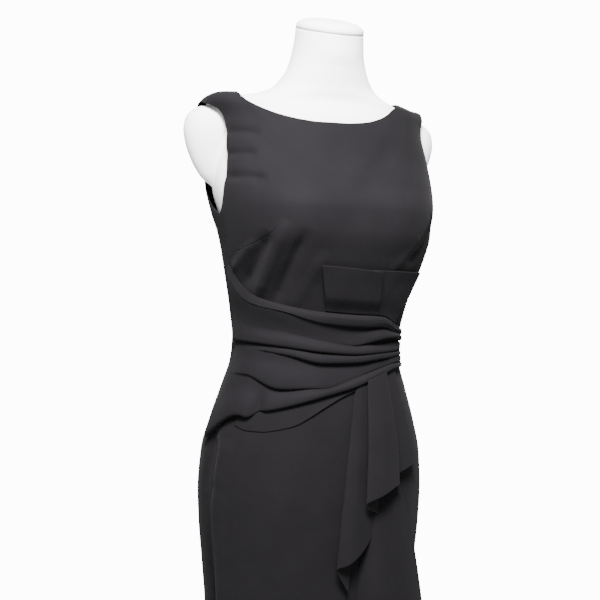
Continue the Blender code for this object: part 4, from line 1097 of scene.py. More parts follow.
SKIRT_TOP = WAIST - WAIST_GAP / 2
Panel = namedtuple("Panel", "name start end columns rows seed")
PANELS = (
    Panel("skirt_front", 180 - SIDE_SEAM - SEAM_ANGLE, SIDE_SEAM + SEAM_ANGLE, 132, 250, 11),
    Panel("skirt_back_right", 270 - SEAM_ANGLE, 180 - SIDE_SEAM + SEAM_ANGLE, 74, 250, 12),
    Panel("skirt_back_left", 360 + SIDE_SEAM - SEAM_ANGLE, 270 + SEAM_ANGLE, 74, 250, 13),
)
skirt = [skirt_panel(panel) for panel in PANELS]
for piece, panel in zip(skirt, PANELS):
    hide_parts(panel.name)
print("skirt", [len(piece.data.polygons) for piece in skirt], "faces")

# %% [markdown]
# ## The waist drape
# A wide bias strip is sewn flat at the wearer's right and gathered at the left, so its folds open
# like a fan. Each fold is a band between two crease lines: it swells out as it falls and rolls back
# under its own lower edge, where it turns dark. A rounded lip that hangs over the crease is what
# makes a fold read as loose cloth and not as a groove.

# %% Fold lines of the drape
OVER_PANEL = 0.0038
GATHER_ANGLE = 30.0
DRAPE_END = 172.4
STATIONS = (173.0, 150.0, 125.0, 100.0, 80.0, 60.0, 45.0, 30.0)
ALL_CREASED = (1.0,) * len(STATIONS)
FoldLine = namedtuple("FoldLine", "name heights creases")
FOLD_LINES = (
    FoldLine("top", (1.2220, 1.1810, 1.1625, 1.1531, 1.1502, 1.1482, 1.1370, 1.1295), ALL_CREASED),
    FoldLine(
        "roll",
        (1.2060, 1.1680, 1.1545, 1.1415, 1.1385, 1.1385, 1.1290, 1.1225),
        (0.00, 0.12, 0.35, 0.70, 0.95, 1.00, 1.00, 1.00),
    ),
    FoldLine(
        "wedge",
        (1.1570, 1.1370, 1.1280, 1.1130, 1.1045, 1.1172, 1.1210, 1.1146),
        (0.00, 0.00, 0.00, 0.00, 0.40, 1.00, 1.00, 1.00),
    ),
    FoldLine("waist", (1.1125, 1.1100, 1.1045, 1.0972, 1.0945, 1.0972, 1.0995, 1.1020), ALL_CREASED),
    FoldLine(
        "belly",
        (1.0925, 1.0950, 1.0915, 1.0815, 1.0826, 1.0880, 1.0905, 1.0915),
        (0.00, 0.00, 0.70, 1.00, 1.00, 1.00, 1.00, 1.00),
    ),
    FoldLine(
        "sweep",
        (1.0560, 1.0570, 1.0432, 1.0418, 1.0570, 1.0722, 1.0806, 1.0828),
        (0.00, 0.60, 1.00, 0.50, 0.30, 0.80, 1.00, 1.00),
    ),
    FoldLine("edge", (0.9645, 1.0015, 1.0150, 1.0335, 1.0475, 1.0635, 1.0720, 1.0735), ALL_CREASED),
)
print("fold lines", [row.name for row in FOLD_LINES])

# %% How each fold swells and falls
Band = namedtuple("Band", "name depths")
BANDS = (
    Band("roll", (0.0025, 0.0040, 0.0055, 0.0065, 0.0065, 0.0050, 0.0040, 0.0020)),
    Band("upper", (0.0015, 0.0025, 0.0025, 0.0025, 0.0040, 0.0072, 0.0068, 0.0030)),
    Band("waist", (0.0040, 0.0055, 0.0065, 0.0070, 0.0070, 0.0055, 0.0040, 0.0020)),
    Band("belly", (0.0008, 0.0020, 0.0050, 0.0070, 0.0065, 0.0050, 0.0035, 0.0018)),
    Band("sweep", (0.0015, 0.0045, 0.0055, 0.0030, 0.0020, 0.0020, 0.0025, 0.0018)),
    Band("hip", (0.0050, 0.0068, 0.0044, 0.0050, 0.0052, 0.0042, 0.0032, 0.0020)),
)
# Round one creased band: how far down it is, how far out, and how far it hangs below its crease.
Fall = namedtuple("Fall", "down proud under")
CREASED = (
    Fall(0.00, 0.00, 0.0),
    Fall(0.16, 0.00, 0.0),
    Fall(0.30, 0.12, 0.0),
    Fall(0.46, 0.42, 0.0),
    Fall(0.64, 0.80, 0.0),
    Fall(0.81, 0.98, 0.0),
    Fall(0.93, 1.00, 0.2),
    Fall(1.00, 0.92, 0.7),
    Fall(1.00, 0.72, 1.0),
    Fall(1.00, 0.42, 0.9),
    Fall(1.00, 0.12, 0.3),
)
# The drape's top is rolled over, so it starts round.
ROLLED = (
    Fall(0.00, 0.10, 0.0),
    Fall(0.01, 0.40, 0.0),
    Fall(0.08, 0.68, 0.0),
    Fall(0.22, 0.90, 0.0),
    Fall(0.42, 1.00, 0.0),
    Fall(0.64, 1.00, 0.0),
    Fall(0.86, 0.97, 0.2),
    Fall(1.00, 0.84, 0.7),
    Fall(1.00, 0.62, 1.0),
    Fall(1.00, 0.36, 0.9),
    Fall(1.00, 0.12, 0.3),
)
print("round a creased and a rolled band", len(CREASED), len(ROLLED), "points")

# %% Settings of the drape
FALLING = 7
LAST_ROW = 0.94
# Near the right seam the lower edge dips, and then lies flat on the underlap for a short way.
EDGE_DIP = (140.5, 4.4, -0.0060)
EDGE_FLAT = (135.5, 4.0, 0.90)
# By the gather the fold over the waist gapes: the next one starts lower.
GAPE = (57.0, 14.0, 0.24)
GAPE_LIP = 0.7
BAND_SWELL = 1.45
# How far a lip hangs over its crease, for a fold of this depth, and how far it may shrink or grow.
UNDER_LIP = 0.0026
LIP_DEPTH = 0.005
LIP_RANGE = (0.1, 1.2)
CREASE_BITE = 0.90
TURNED_UNDER = 0.0012
LOWER_EDGE_LIFT = 0.0004
# Small pleats inside the folds grow from the first angle over the next so many degrees.
PLEATS_FROM = 72.0
PLEATS_OVER = 34.0
PLEAT_RISE = 0.0011
ROLL_BELOW_TOP = 0.0008
DRAPE_SLACK = 0.0006
CALM_BY_ENDS = (12.0, 8.0)
DRAPE_COLUMNS = 190
BAND_ROWS = 21
# Short soft wrinkles that cross the folds.
DRAPE_PULLS = (
    Pull(140.0, 1.155, 122.0, 1.122, 0.0070, -0.0016),
    Pull(128.0, 1.160, 108.0, 1.122, 0.0060, 0.0012),
    Pull(158.0, 1.085, 132.0, 1.066, 0.0080, -0.0012),
    Pull(112.0, 1.030, 96.0, 1.062, 0.0060, 0.0010),
)
print("bands", len(BANDS), "rows round each", BAND_ROWS)

# %% Curves along the drape
def station_curve(values):
    return smooth_through(STATIONS, values)


LINES = {row.name: station_curve(row.heights) for row in FOLD_LINES}


def bell(angles, middle, width):
    return np.exp(-(((angles - middle) / width) ** 2))


def drape_edge(angles):
    return LINES["edge"](angles) + EDGE_DIP[2] * bell(angles, *EDGE_DIP[:2])


def round_band(table, t):
    """The columns of a fall table, read at the places t."""
    place = np.arange(len(table))
    return (smooth_through(place, [row[k] for row in table])(t)[:, None] for k in range(3))


print("the drape's edge at the front", round(float(drape_edge(90.0)), 4))

# %% Waist drape
def make_waist_drape():
    angles = np.linspace(DRAPE_END, GATHER_ANGLE, DRAPE_COLUMNS)
    t = np.linspace(0, len(CREASED) - 1, BAND_ROWS)
    even = (t / t[-1] * LAST_ROW)[:, None]
    heights, lifts = [], []
    root = np.zeros(len(angles))
    gathered = np.clip((PLEATS_FROM - angles) / PLEATS_OVER, 0, 1)
    for k, band in enumerate(BANDS):
        down, proud, under = round_band(CREASED if k else ROLLED, t)
        last = k == len(BANDS) - 1
        upper = LINES[FOLD_LINES[k].name](angles) - (0.0 if k else ROLL_BELOW_TOP)
        lower = drape_edge(angles) if last else LINES[FOLD_LINES[k + 1].name](angles)
        depth = BAND_SWELL * station_curve(band.depths)(angles)
        if last:
            depth = depth * (1 - EDGE_FLAT[2] * bell(angles, *EDGE_FLAT[:2]))
        crease = station_curve(FOLD_LINES[k + 1].creases)(angles)
        lip = UNDER_LIP * crease * np.clip(depth / LIP_DEPTH, *LIP_RANGE)
        if band.name == "upper":
            lip = lip * (1 - GAPE_LIP * bell(angles, *GAPE[:2]))
        next_root = depth * (1 - CREASE_BITE * crease)
        soft = root + (depth - root) * even * even * (3 - 2 * even)
        rising = root + (depth - root) * proud
        falling = next_root + (depth - next_root) * proud
        sharp = np.where(t[:, None] >= FALLING, falling, rising)
        run = down * crease + even * (1 - crease)
        if band.name == "waist":
            run = run + 4 * GAPE[2] * bell(angles, *GAPE[:2]) * run * (1 - run)
        small = PLEAT_RISE * gathered * np.sin((k * 5 + 4 * run) * math.pi) * np.sin(run * math.pi)
        heights.append(upper + (lower - upper) * run - lip * under)
        lifts.append(OVER_PANEL + sharp * crease + soft * (1 - crease) + small)
        root = next_root
    # The lower edge is turned under.
    heights = np.concatenate(heights + [(drape_edge(angles) + TURNED_UNDER)[None]])
    lifts = np.concatenate(lifts + [(OVER_PANEL + LOWER_EDGE_LIFT + 0 * angles)[None]])
    sheet = lifted_at(angles[None, :], heights, lifts)
    lively = np.clip((DRAPE_END - angles) / CALM_BY_ENDS[0], 0, 1)
    lively = lively * np.clip((angles - GATHER_ANGLE) / CALM_BY_ENDS[1], 0, 1)
    loose = DRAPE_SLACK * waves(sheet, SLACK_LENGTH, 21) + pulled(sheet, DRAPE_PULLS)
    sheet = GOWN.lifted(sheet, lively * loose)
    return cloth("waist_drape_cloth", sheet, CREPE, CREPE_PLAIN, grain=45.0)


drape = make_waist_drape()
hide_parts("waist_drape")
print("drape", len(drape.data.polygons), "faces")

# %% [markdown]
# ## Underlap and tab
# A short underlap shows below the drape, ending in a seam. At the gather an upright tab stands
# behind the drape's top roll: a wide panel pleated over a narrow one, its lower end drawn in towards
# the body. Both panels are folded double, so they are thicker than the rest.

# %% Underlap
UNDERLAP_SEAM = (
    Edge(0.9850, 149.0),
    Edge(0.9790, 140.0),
    Edge(0.9785, 131.0),
    Edge(0.9830, 121.0),
    Edge(0.9895, 113.0),
    Edge(0.9985, 107.5),
    Edge(1.0135, 99.0),
    Edge(1.0290, 88.5),
    Edge(1.0385, 79.5),
)
UNDERLAP_LIFT = 0.0031
UNDERLAP_RISE = 0.0020
UNDERLAP_RISES = (122.0, 98.0)
UNDERLAP_LEAST = 0.0030


def make_underlap():
    seam = smooth_through([row.turn for row in UNDERLAP_SEAM], [row.height for row in UNDERLAP_SEAM])
    angles = np.linspace(UNDERLAP_SEAM[0].turn, UNDERLAP_SEAM[-1].turn, 72)
    low = seam(angles)
    high = np.maximum(drape_edge(angles) + TURNED_UNDER, low + UNDERLAP_LEAST)
    share = np.linspace(0, 1, 16)[:, None]
    proud = UNDERLAP_LIFT + UNDERLAP_RISE * (1 - ramp(angles, UNDERLAP_RISES[::-1])) * share
    sheet = lifted_at(angles[None, :], high + (low - high) * share, proud)
    return cloth("drape_underlap_cloth", sheet, UNDERLAP_CREPE, CREPE_PLAIN, grain=45.0)


underlap = make_underlap()
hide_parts("drape_underlap")
print("underlap", len(underlap.data.polygons), "faces")

# %% Tab
TabPanel = namedtuple("TabPanel", "top_angles top_heights foot_angles top_lifts foot_lifts")
TAB_WIDE = TabPanel(
    (105.9, 70.0), (1.2225, 1.2165), (100.0, 64.5), (0.0082, 0.0084), (0.0062, 0.0062)
)
TAB_NARROW = TabPanel(
    (75.0, 34.0), (1.2165, 1.2175), (70.0, 43.5), (0.0036, 0.0072), (0.0034, 0.0038)
)
# The foot is drawn in between these shares of the way down, by this much.
TAB_DRAWN_IN = (0.62, 0.97)
WIDE_DRAWN_IN = 0.0036
NARROW_DRAWN_IN = 0.0006
Swell = namedtuple("Swell", "rise middle lean width")
TAB_SWELL = Swell(0.0012, 0.35, 0.2, 0.16)
TAB_SLACK = 0.0005
TAB_SLACK_LENGTH = 0.04
TAB_CLEAR = 0.0018


def spread(ends, share):
    """From the first of two ends to the second."""
    return ends[0] + (ends[1] - ends[0]) * share


def tab_panel(name, panel, drawn_in, seed):
    u = np.linspace(0, 1, 60)[None, :]
    v = np.linspace(0, 1, 52)[:, None]
    foot_angles, top_angles = spread(panel.foot_angles, u), spread(panel.top_angles, u)
    foot_heights, top_heights = LINES["top"](foot_angles) + TAB_CLEAR, spread(panel.top_heights, u)
    foot_lifts, top_lifts = spread(panel.foot_lifts, u), spread(panel.top_lifts, u**2)
    off_middle = (u - TAB_SWELL.middle + TAB_SWELL.lean * v) / TAB_SWELL.width
    bulge = TAB_SWELL.rise * np.exp(-(off_middle**2)) * np.sin(v * math.pi)
    lifts = top_lifts + (foot_lifts - drawn_in - top_lifts) * ramp(v, TAB_DRAWN_IN) + bulge
    angles = top_angles + (foot_angles - top_angles) * v
    sheet = lifted_at(angles, top_heights + (foot_heights - top_heights) * v, lifts)
    inner = np.sin(u * math.pi) * np.sin(v * math.pi)
    sheet = GOWN.lifted(sheet, TAB_SLACK * inner * waves(sheet, TAB_SLACK_LENGTH, seed))
    return cloth(name, sheet, FOLDED_CREPE, CREPE_PLAIN)


tab_wide = tab_panel("tab_wide_cloth", TAB_WIDE, WIDE_DRAWN_IN, 31)
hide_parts("tab_wide")
tab_narrow = tab_panel("tab_narrow_cloth", TAB_NARROW, NARROW_DRAWN_IN, 32)
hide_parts("tab_narrow")
print("tab", len(tab_wide.data.polygons), "and", len(tab_narrow.data.polygons), "faces")

# %% [markdown]
# ## The cascade
# A circle-cut flounce falls from the gather and folds back on itself in an S, each fold longer than
# the one above. Two more tiers repeat it lower down the seam. The folds are lines from the gather to
# the hem, in order along the cloth, and the sheet runs smoothly through them.

# %% Folds of the cascade
Fold = namedtuple("Fold", "name angle height lift hem_angle hem_height hem_lift bow")
CASCADE_UPPER = (
    Fold("free_edge", 43.0, 1.0700, 0.0038, 46.5, 0.9285, 0.0130, 0.6),
    Fold("side_panel", 53.0, 1.0670, 0.0038, 58.0, 0.9190, 0.0145, 0.6),
    Fold("tuck", 61.0, 1.0620, 0.0042, 66.0, 0.9120, 0.0160, 0.6),
    Fold("tuck_back", 62.6, 1.0615, 0.0064, 67.4, 0.9095, 0.0200, 0.6),
    Fold("return", 60.0, 1.0625, 0.0088, 65.5, 0.9070, 0.0245, 0.6),
    Fold("cone_right", 56.5, 1.0640, 0.0100, 62.8, 0.9043, 0.0275, 0.6),
    Fold("cone_front", 59.0, 1.0630, 0.0114, 66.0, 0.9015, 0.0320, 0.6),
    Fold("cone_middle", 65.0, 1.0590, 0.0120, 73.0, 0.8925, 0.0380, 0.6),
    Fold("cone_left", 71.0, 1.0540, 0.0114, 80.2, 0.8810, 0.0330, 0.6),
    Fold("hollow", 70.4, 1.0550, 0.0096, 78.5, 0.8730, 0.0285, 0.6),
    Fold("hollow_back", 67.0, 1.0580, 0.0090, 72.0, 0.8640, 0.0180, 0.6),
    Fold("hollow_turn", 64.8, 1.0590, 0.0066, 69.5, 0.8560, 0.0120, 0.6),
    Fold("low_root", 66.8, 1.0580, 0.0042, 72.0, 0.8400, 0.0120, 0.6),
    Fold("low_face", 70.5, 1.0550, 0.0050, 79.0, 0.8130, 0.0205, 0.5),
    Fold("low_front", 73.5, 1.0525, 0.0058, 86.5, 0.7960, 0.0270, 0.5),
    Fold("low_left", 76.4, 1.0500, 0.0060, 91.9, 0.7870, 0.0205, 0.5),
    Fold("low_under", 74.4, 1.0510, 0.0042, 84.5, 0.7500, 0.0120, 0.5),
)
CASCADE_MIDDLE = (
    Fold("free_edge", 66.5, 0.9420, 0.0070, 33.0, 0.5500, 0.0600, 0.62),
    Fold("right_face", 68.5, 0.9420, 0.0076, 46.0, 0.5220, 0.0680, 0.8),
    Fold("wide_face", 71.0, 0.9420, 0.0076, 62.0, 0.4900, 0.0600, 1.0),
    Fold("left_face", 73.5, 0.9420, 0.0066, 80.0, 0.4400, 0.0380, 2.0),
    Fold("seam", 76.0, 0.9420, 0.0030, 92.0, 0.3900, 0.0030, 2.0),
)
CASCADE_LOWER = (
    Fold("free_edge", 58.0, 0.6000, 0.0080, 30.0, 0.1500, 0.0520, 0.8),
    Fold("face", 63.0, 0.6000, 0.0110, 50.0, 0.0950, 0.0660, 0.9),
    Fold("dip", 68.0, 0.6000, 0.0100, 66.0, 0.0700, 0.0300, 1.0),
    Fold("second_face", 72.0, 0.6000, 0.0090, 84.0, 0.0500, 0.0560, 1.3),
    Fold("seam", 77.0, 0.6000, 0.0030, 104.0, 0.0430, 0.0030, 2.0),
)
UNDER_EDGE = 0.0019
print("cascade folds", len(CASCADE_UPPER), len(CASCADE_MIDDLE), len(CASCADE_LOWER))

# %% Cascade
def cascade_sheet(folds, rows, steps, under_drape):
    place = np.arange(len(folds))
    fine = np.linspace(0, len(folds) - 1, steps * (len(folds) - 1) + 1)
    fold = Fold(None, *(smooth_through(place, [row[k] for row in folds])(fine) for k in range(1, 8)))
    high = LINES["edge"](fold.angle) - UNDER_EDGE if under_drape else fold.height
    share = np.linspace(0, 1, rows)[:, None]
    angle = fold.angle + (fold.hem_angle - fold.angle) * share**fold.bow
    height = high + (fold.hem_height - high) * share
    lift = fold.lift + (fold.hem_lift - fold.lift) * share
    return lifted_at(angle, height, lift)[:, ::-1]


def make_cascade(node, folds, rows, steps, under_drape=False):
    sheet = cascade_sheet(folds, rows, steps, under_drape)
    tier = cloth(node + "_cloth", sheet, FLOUNCE_CREPE, CREPE_PLAIN, grain=45.0)
    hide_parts(node)
    return tier


cascade = [
    make_cascade("cascade_upper", CASCADE_UPPER, 90, 14, under_drape=True),
    make_cascade("cascade_middle", CASCADE_MIDDLE, 120, 24),
    make_cascade("cascade_lower", CASCADE_LOWER, 130, 26),
]
print("cascade", [len(tier.data.polygons) for tier in cascade], "faces")

# %% [markdown]
# ## The dress form and its stand
# The form is a smooth torso covered in white stretch jersey, with rounded shoulder caps and a
# separate cap on the neck, on a satin steel pole and base. It is turned and lofted again here with
# more steps, because its plain solid is coarse.

# %% Turned profiles
Turn = namedtuple("Turn", "height radius")
CAP_PROFILE = (
    Turn(1.4575, 0.0000),
    Turn(1.4560, 0.0190),
    Turn(1.4500, 0.0350),
    Turn(1.4375, 0.0460),
    Turn(1.4180, 0.0490),
    Turn(1.3940, 0.0440),
    Turn(1.3700, 0.0340),
    Turn(1.3490, 0.0210),
    Turn(1.3330, 0.0000),
)
CAP_ACROSS = 0.154
CAP_BACK = 0.011
CAP_FLATNESS = 0.72
BASE_PROFILE = (
    Turn(0.0340, 0.0000),
    Turn(0.0340, 0.0190),
    Turn(0.0300, 0.0225),
    Turn(0.0180, 0.0240),
    Turn(0.0130, 0.0320),
    Turn(0.0110, 0.1480),
    Turn(0.0080, 0.1570),
    Turn(0.0030, 0.1600),
    Turn(0.0000, 0.1590),
    Turn(0.0000, 0.0000),
)
SOCKET_PROFILE = (
    Turn(0.7997, 0.0000),
    Turn(0.7997, 0.0600),
    Turn(0.7950, 0.0620),
    Turn(0.7900, 0.0600),
    Turn(0.7840, 0.0260),
    Turn(0.7400, 0.0230),
    Turn(0.7380, 0.0210),
    Turn(0.7380, 0.0000),
)
POLE_RADIUS = 0.0127
POLE_PROFILE = (
    Turn(0.7377, 0.0),
    Turn(0.7377, POLE_RADIUS),
    Turn(0.0343, POLE_RADIUS),
    Turn(0.0343, 0.0),
)
PROFILES = (CAP_PROFILE, BASE_PROFILE, SOCKET_PROFILE, POLE_PROFILE)
print("corners in the profiles", [len(profile) for profile in PROFILES])

# %% [markdown]
# ## Jersey, steel and lacquer
# Jersey is matt, with a hardly visible rib and soft clouds where it is stretched over the shell. The
# steel is brushed round the pole and slightly smudged. The zip's lacquer is worn to bare metal in a
# few small places. All three follow the object's own metres, so they need no unwrapping.

# %% Jersey, steel and lacquer
def jersey_material():
    material, tree, shader = new_material(
        "white_jersey", Specular_IOR_Level=0.3, Sheen_Weight=0.15, Sheen_Roughness=0.4
    )
    where = on_object(tree)
    ribs = noise(tree, where, 0.0009, 1.0)
    clouds = noise(tree, where, 0.09, 2.0)
    wire(
        tree,
        shader,
        Base_Color=mix_colour(tree, clouds, (0.88, 0.88, 0.875), (0.93, 0.93, 0.925)),
        Roughness=math_node(tree, "MULTIPLY_ADD", ribs, 0.2, 0.6),
        Normal=bump(tree, ribs, 0.00012, 0.5),
    )
    return material


BRUSHED_ROUND = (1.0, 1.0, 30.0)


def steel_material():
    material, tree, shader = new_material("satin_steel", Metallic=1.0)
    where = on_object(tree)
    brushed = noise(tree, scaled(tree, where, BRUSHED_ROUND), 0.02, 3.0)
    smudged = noise(tree, where, 0.045, 3.0, 0.6)
    rough = math_node(tree, "MULTIPLY_ADD", brushed, 0.16, 0.24)
    wire(
        tree,
        shader,
        Base_Color=mix_colour(tree, smudged, (0.56, 0.56, 0.57), (0.66, 0.66, 0.67)),
        Roughness=math_node(tree, "MULTIPLY_ADD", smudged, 0.10, rough),
        Normal=bump(tree, brushed, 0.00003, 0.3),
    )
    return material


def lacquer_material():
    material, tree, shader = new_material("black_zip_lacquer")
    worn = noise(tree, on_object(tree), 0.0016, 3.0, 0.6)
    bare = math_node(tree, "MULTIPLY_ADD", worn, 7.0, -4.7, clamp=True)
    wire(
        tree,
        shader,
        Base_Color=mix_colour(tree, bare, (0.018, 0.018, 0.019), (0.16, 0.155, 0.15)),
        Metallic=math_node(tree, "MULTIPLY", bare, 0.8),
        Roughness=math_node(tree, "MULTIPLY_ADD", worn, 0.25, 0.22),
        Normal=bump(tree, worn, 0.00004, 0.4),
    )
    return material


JERSEY = jersey_material()
STEEL = steel_material()
LACQUER = lacquer_material()
print("finishes", [material.name for material in (JERSEY, STEEL, LACQUER)])

# %% Turned and lofted solids
CORNER_CUT = 0.2
CORNER_CUTS = 2
LEAST_RADIUS = 0.0004


def ringed(name, rings, material):
    """A closed solid through rings, the highest first, with its ends filled."""
    rows, columns = rings.shape[:2]
    index = grid_index(rows, columns)
    index = np.concatenate([index, index[:, :1]], 1)
    faces = grid_quads(index).tolist()
    faces.append(tuple(range(columns)))
    faces.append(tuple(reversed(range((rows - 1) * columns, rows * columns))))
    return mesh_object(name, rings.reshape(-1, 3), faces, material)


def rounded_profile(profile, count):
    """The turned profile with each corner softened by cutting it."""
    line = np.array([(row.radius, row.height) for row in profile])
    keep = 1 - CORNER_CUT
    for _ in range(count):
        near, far = line[:-1], line[1:]
        cuts = np.stack([near * keep + far * CORNER_CUT, near * CORNER_CUT + far * keep], 1)
        line = np.concatenate([line[:1], cuts.reshape(-1, 2), line[-1:]])
    return line


def turned(name, profile, steps, material, soften=CORNER_CUTS):
    line = rounded_profile(profile, soften)
    line[:, 0] = np.maximum(line[:, 0], LEAST_RADIUS)
    turn = np.radians(np.linspace(360, 0, steps, endpoint=False))[None, :]
    rings = [line[:, :1] * np.cos(turn), line[:, :1] * np.sin(turn), line[:, 1:] + 0 * turn]
    return ringed(name, np.stack(rings, -1), material)


print("corners are cut", CORNER_CUTS, "times")

# %% [markdown]
# ## The torso, its caps and the neck
# The torso follows the form's own skin, and its top is cut at a slant like a collar. A cap is a turned
# solid pressed flat from front to back. The neck cap is a low dome on the torso's top ring.

# %% Dress form
NECK_TOP = 1.575
NECK_SLANT_FROM = 1.515
NECK_SLANTS_OVER = 0.03
NECK_LEAN = math.radians(17.0)
NECK_MIDDLE = -0.031
NECK_ENDS = 1.44
TORSO_FROM = 1.437
TORSO_RIM = 0.80
FORM_STEPS = 128
CAPS = (("form_cap_right", -1), ("form_cap_left", 1))
Step = namedtuple("Step", "share rise")
DOME = (
    Step(0.02, 0.0195),
    Step(0.45, 0.0185),
    Step(0.78, 0.0155),
    Step(0.95, 0.0105),
    Step(0.985, 0.0080),
    Step(1.0, 0.0050),
    Step(1.0, 0.0003),
)


def form_rings(heights, angles):
    rings = FORM.at(angles[None, :], heights[:, None])
    slanted = np.clip((heights - NECK_SLANT_FROM) / NECK_SLANTS_OVER, 0, 1)[:, None]
    rings[..., 2] += slanted * math.tan(NECK_LEAN) * (rings[..., 1] - NECK_MIDDLE)
    return swayed(rings, strap_rises=False)


def make_cap(name, side):
    cap = turned(name, CAP_PROFILE, 64, JERSEY)
    place = Matrix.Translation((side * CAP_ACROSS + CAP_SWAY, CAP_BACK, 0.0))
    cap.data.transform(place @ Matrix.Diagonal((1.0, CAP_FLATNESS, 1.0, 1.0)))
    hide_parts("form_torso")
    return cap


def make_form():
    angles = np.linspace(360, 0, FORM_STEPS, endpoint=False)
    neck_heights = np.linspace(NECK_TOP, NECK_ENDS, 60)
    heights = np.concatenate([neck_heights, np.linspace(TORSO_FROM, TORSO_RIM, 150)])
    torso = ringed("form_torso_jersey", form_rings(heights, angles), JERSEY)
    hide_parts("form_torso")
    caps = [make_cap(name, side) for name, side in CAPS]
    base = form_rings(np.array([NECK_TOP]), angles)[0]
    middle = base.mean(0)
    lean = np.array([0.0, -math.sin(NECK_LEAN), math.cos(NECK_LEAN)])
    rings = np.array([middle + (base - middle) * step.share + lean * step.rise for step in DOME])
    neck = ringed("form_neck_cap_jersey", rings, JERSEY)
    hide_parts("form_neck_cap")
    return [torso, *caps, neck]


form = make_form()
print("form", [piece.name for piece in form])

# %% [markdown]
# ## The stand, and the zip's finish
# The stand's three parts are turned on one axis. The slider and the pull keep the shapes that they
# were loaded with, since they are small and exact already, and only get their finish.

# %% Stand and zip
SHARP_FROM = math.radians(40)


def make_stand():
    stand = [
        turned("stand_base_steel", BASE_PROFILE, 128, STEEL),
        turned("stand_socket_steel", SOCKET_PROFILE, 96, STEEL),
        turned("stand_pole_steel", POLE_PROFILE, 64, STEEL, soften=0),
    ]
    for piece, node in zip(stand, ("stand_base", "stand_socket", "stand_pole")):
        piece.data.set_sharp_from_angle(angle=SHARP_FROM)
        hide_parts(node)
    return stand


stand = make_stand()
for node in ("zip_slider", "zip_pull"):
    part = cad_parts[node]
    part.data.materials.clear()
    part.data.materials.append(LACQUER)
print("stand", [piece.name for piece in stand])

# %% [markdown]
# ## Thread and zip coil
# The hem is caught up by hand with pricks of thread, tacks hold the gather, and behind the centre
# back seam runs the coil of the concealed zip. Each is one small part repeated along a line, so one
# Geometry Nodes tree makes all of them: it walks a line in equal steps and sets a rounded bar at
# each, along the line or across it. Small seeded turns keep hand stitches from looking printed.

# %% A tree that sets bars along a line
def bar_row_tree():
    tree = bpy.data.node_groups.new("bar_row", "GeometryNodeTree")
    given, made = group_sockets(
        tree,
        [
            ("Line", "NodeSocketGeometry", None),
            ("Pitch", "NodeSocketFloat", 0.01),
            ("Bar Size", "NodeSocketVector", (0.0004, 0.0004, 0.002)),
            ("Turn", "NodeSocketFloat", 0.0),
            ("Unevenness", "NodeSocketFloat", 0.1),
            ("Seed", "NodeSocketInt", 4),
            ("Material", "NodeSocketMaterial", None),
        ],
        [("Bars", "NodeSocketGeometry")],
    )

    def add(kind, **sources):
        node = tree.nodes.new(kind)
        wire(tree, node, **sources)
        return node

    curve = add("GeometryNodeMeshToCurve", Mesh=given.outputs["Line"])
    steps = add("GeometryNodeResampleCurve", Curve=curve.outputs["Curve"])
    steps.mode = "LENGTH"
    wire(tree, steps, Length=given.outputs["Pitch"])
    ball = add("GeometryNodeMeshIcoSphere")
    ball.inputs["Radius"].default_value = 0.5
    ball.inputs["Subdivisions"].default_value = 2
    tangent = add("GeometryNodeInputTangent")
    aligned = add("FunctionNodeAlignRotationToVector", Vector=tangent.outputs["Tangent"])
    aligned.axis = "Z"
    chance = add("FunctionNodeRandomValue", Seed=given.outputs["Seed"])
    chance.data_type = "FLOAT"
    low = math_node(tree, "MULTIPLY", given.outputs["Unevenness"], -1.0)
    floats = [socket for socket in chance.inputs if socket.type == "VALUE"]
    tree.links.new(low, floats[0])
    tree.links.new(given.outputs["Unevenness"], floats[1])
    drawn = next(out for out in chance.outputs if out.type == "VALUE")
    euler = add("ShaderNodeCombineXYZ", X=math_node(tree, "ADD", given.outputs["Turn"], drawn))
    spin = add("FunctionNodeEulerToRotation", Euler=euler.outputs[0])
    rotate = add("FunctionNodeRotateRotation", Rotation=aligned.outputs["Rotation"])
    rotate.rotation_space = "LOCAL"
    wire(tree, rotate, Rotate_By=spin.outputs[0])
    bars = add(
        "GeometryNodeInstanceOnPoints",
        Points=steps.outputs["Curve"],
        Instance=ball.outputs["Mesh"],
        Rotation=rotate.outputs[0],
        Scale=given.outputs["Bar Size"],
    )
    real = add("GeometryNodeRealizeInstances", Geometry=bars.outputs["Instances"])
    smooth = add("GeometryNodeSetShadeSmooth", Geometry=real.outputs["Geometry"])
    dressed = add(
        "GeometryNodeSetMaterial",
        Geometry=smooth.outputs["Geometry"],
        Material=given.outputs["Material"],
    )
    wire(tree, made, Bars=dressed.outputs["Geometry"])
    return tree


def thread_material():
    material, tree, shader = new_material("black_thread", Specular_IOR_Level=0.25)
    plies = noise(tree, on_object(tree), 0.0003, 1.0)
    wire(
        tree,
        shader,
        Base_Color=mix_colour(tree, plies, DYE_DEEP, DYE_PALE),
        Roughness=math_node(tree, "MULTIPLY_ADD", plies, 0.3, 0.4),
    )
    return material


BAR_ROW = bar_row_tree()
THREAD = thread_material()
print("bar tree with", len(BAR_ROW.nodes), "nodes")

# %% Thread and zip coil
Bars = namedtuple("Bars", "name pitch size turn unevenness seed")
HEM_PRICKS = Bars("hem_pricks", 0.009, (0.00035, 0.00035, 0.0014), 0.9, 0.25, 5)
GATHER_TACKS = Bars("gather_tacks", 0.0042, (0.0005, 0.0005, 0.0030), 1.57, 0.20, 6)
ZIP_COIL = Bars("zip_coil", 0.0016, (0.0009, 0.0009, 0.0042), 1.57, 0.0, 7)
HEM_DEPTH = 0.025
ON_CLOTH = 0.0001
GATHER_AT = 31.6
EDGES_READ_AT = 32.0
TACKS_IN_FROM_EDGE = 0.004
TACKS_PROUD = 0.0012
COIL_HEIGHTS = (0.960, 1.4300)
COIL_BEHIND = np.array([0.0, 0.0016, 0.0])


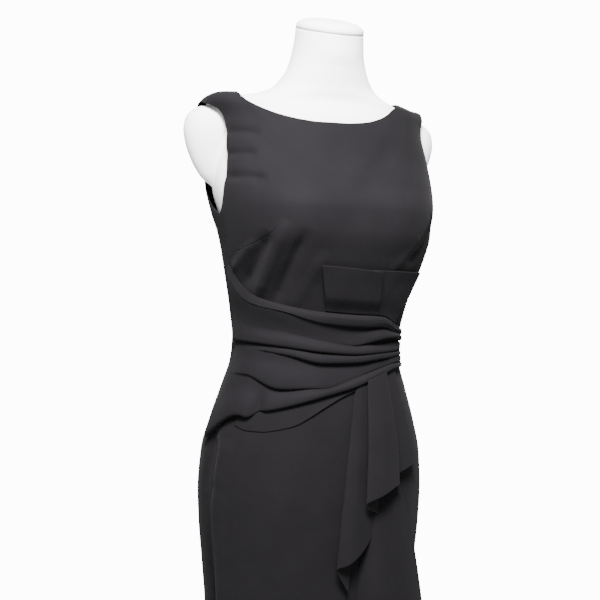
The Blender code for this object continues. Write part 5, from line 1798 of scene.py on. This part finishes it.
def bar_row(bars, lines, material):
    mesh = bpy.data.meshes.new(bars.name)
    points, edges = [], []
    for line in lines:
        start = len(points)
        points.extend(np.asarray(line).tolist())
        edges.extend((start + k, start + k + 1) for k in range(len(line) - 1))
    mesh.from_pydata(points, edges, [])
    row = bpy.data.objects.new(bars.name, mesh)
    scene.collection.objects.link(row)
    maker = row.modifiers.new("bars", "NODES")
    maker.node_group = BAR_ROW
    settings = {
        "Pitch": bars.pitch,
        "Bar Size": bars.size,
        "Turn": bars.turn,
        "Unevenness": bars.unevenness,
        "Seed": bars.seed,
        "Material": material,
    }
    for socket in BAR_ROW.interface.items_tree:
        if socket.in_out == "INPUT" and socket.name in settings:
            maker[socket.identifier] = settings[socket.name]
    graph = bpy.context.evaluated_depsgraph_get()
    finished = bpy.data.meshes.new_from_object(row.evaluated_get(graph))
    row.modifiers.remove(maker)
    row.data = finished
    return row


print("rows to set", [bars.name for bars in (HEM_PRICKS, GATHER_TACKS, ZIP_COIL)])

# %% Where the thread and the coil run
hem_lines = []
for panel in PANELS:
    line = skirt_sheet(panel, np.full((1, 1), HEM + HEM_DEPTH), panel.columns)[0]
    hem_lines.append(GOWN.lifted(line, CREPE + ON_CLOTH)[3:-3])
drape_top, drape_foot = LINES["top"](EDGES_READ_AT), LINES["edge"](EDGES_READ_AT)
gather_heights = np.linspace(drape_top - TACKS_IN_FROM_EDGE, drape_foot + TACKS_IN_FROM_EDGE, 12)
gather_line = lifted_at(np.full(12, GATHER_AT), gather_heights, OVER_PANEL + CREPE + TACKS_PROUD)
coil_heights = np.linspace(*COIL_HEIGHTS, 90)
coil_line = GOWN.front_at(np.zeros(90), coil_heights, -1.0) - COIL_BEHIND
rows = [
    bar_row(HEM_PRICKS, hem_lines, THREAD),
    bar_row(GATHER_TACKS, [gather_line], THREAD),
    bar_row(ZIP_COIL, [coil_line], LACQUER),
]
print("rows", {row.name: len(row.data.polygons) for row in rows})

# %% [markdown]
# ## What rides on what
# All of it rides on the one body.

Cut = namedtuple("Cut", "width length area held rests_on")
cloths = bodice + skirt + [drape, underlap, tab_wide, tab_narrow] + cascade
SLOTS = (
    ("crepe", cloths + rows[:2]),
    ("form_cloth", form),
    ("stand_metal", stand),
    ("zip_metal", rows[2:]),
)
for slot, pieces in SLOTS:
    for piece in pieces:
        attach(piece, "gown_on_form")
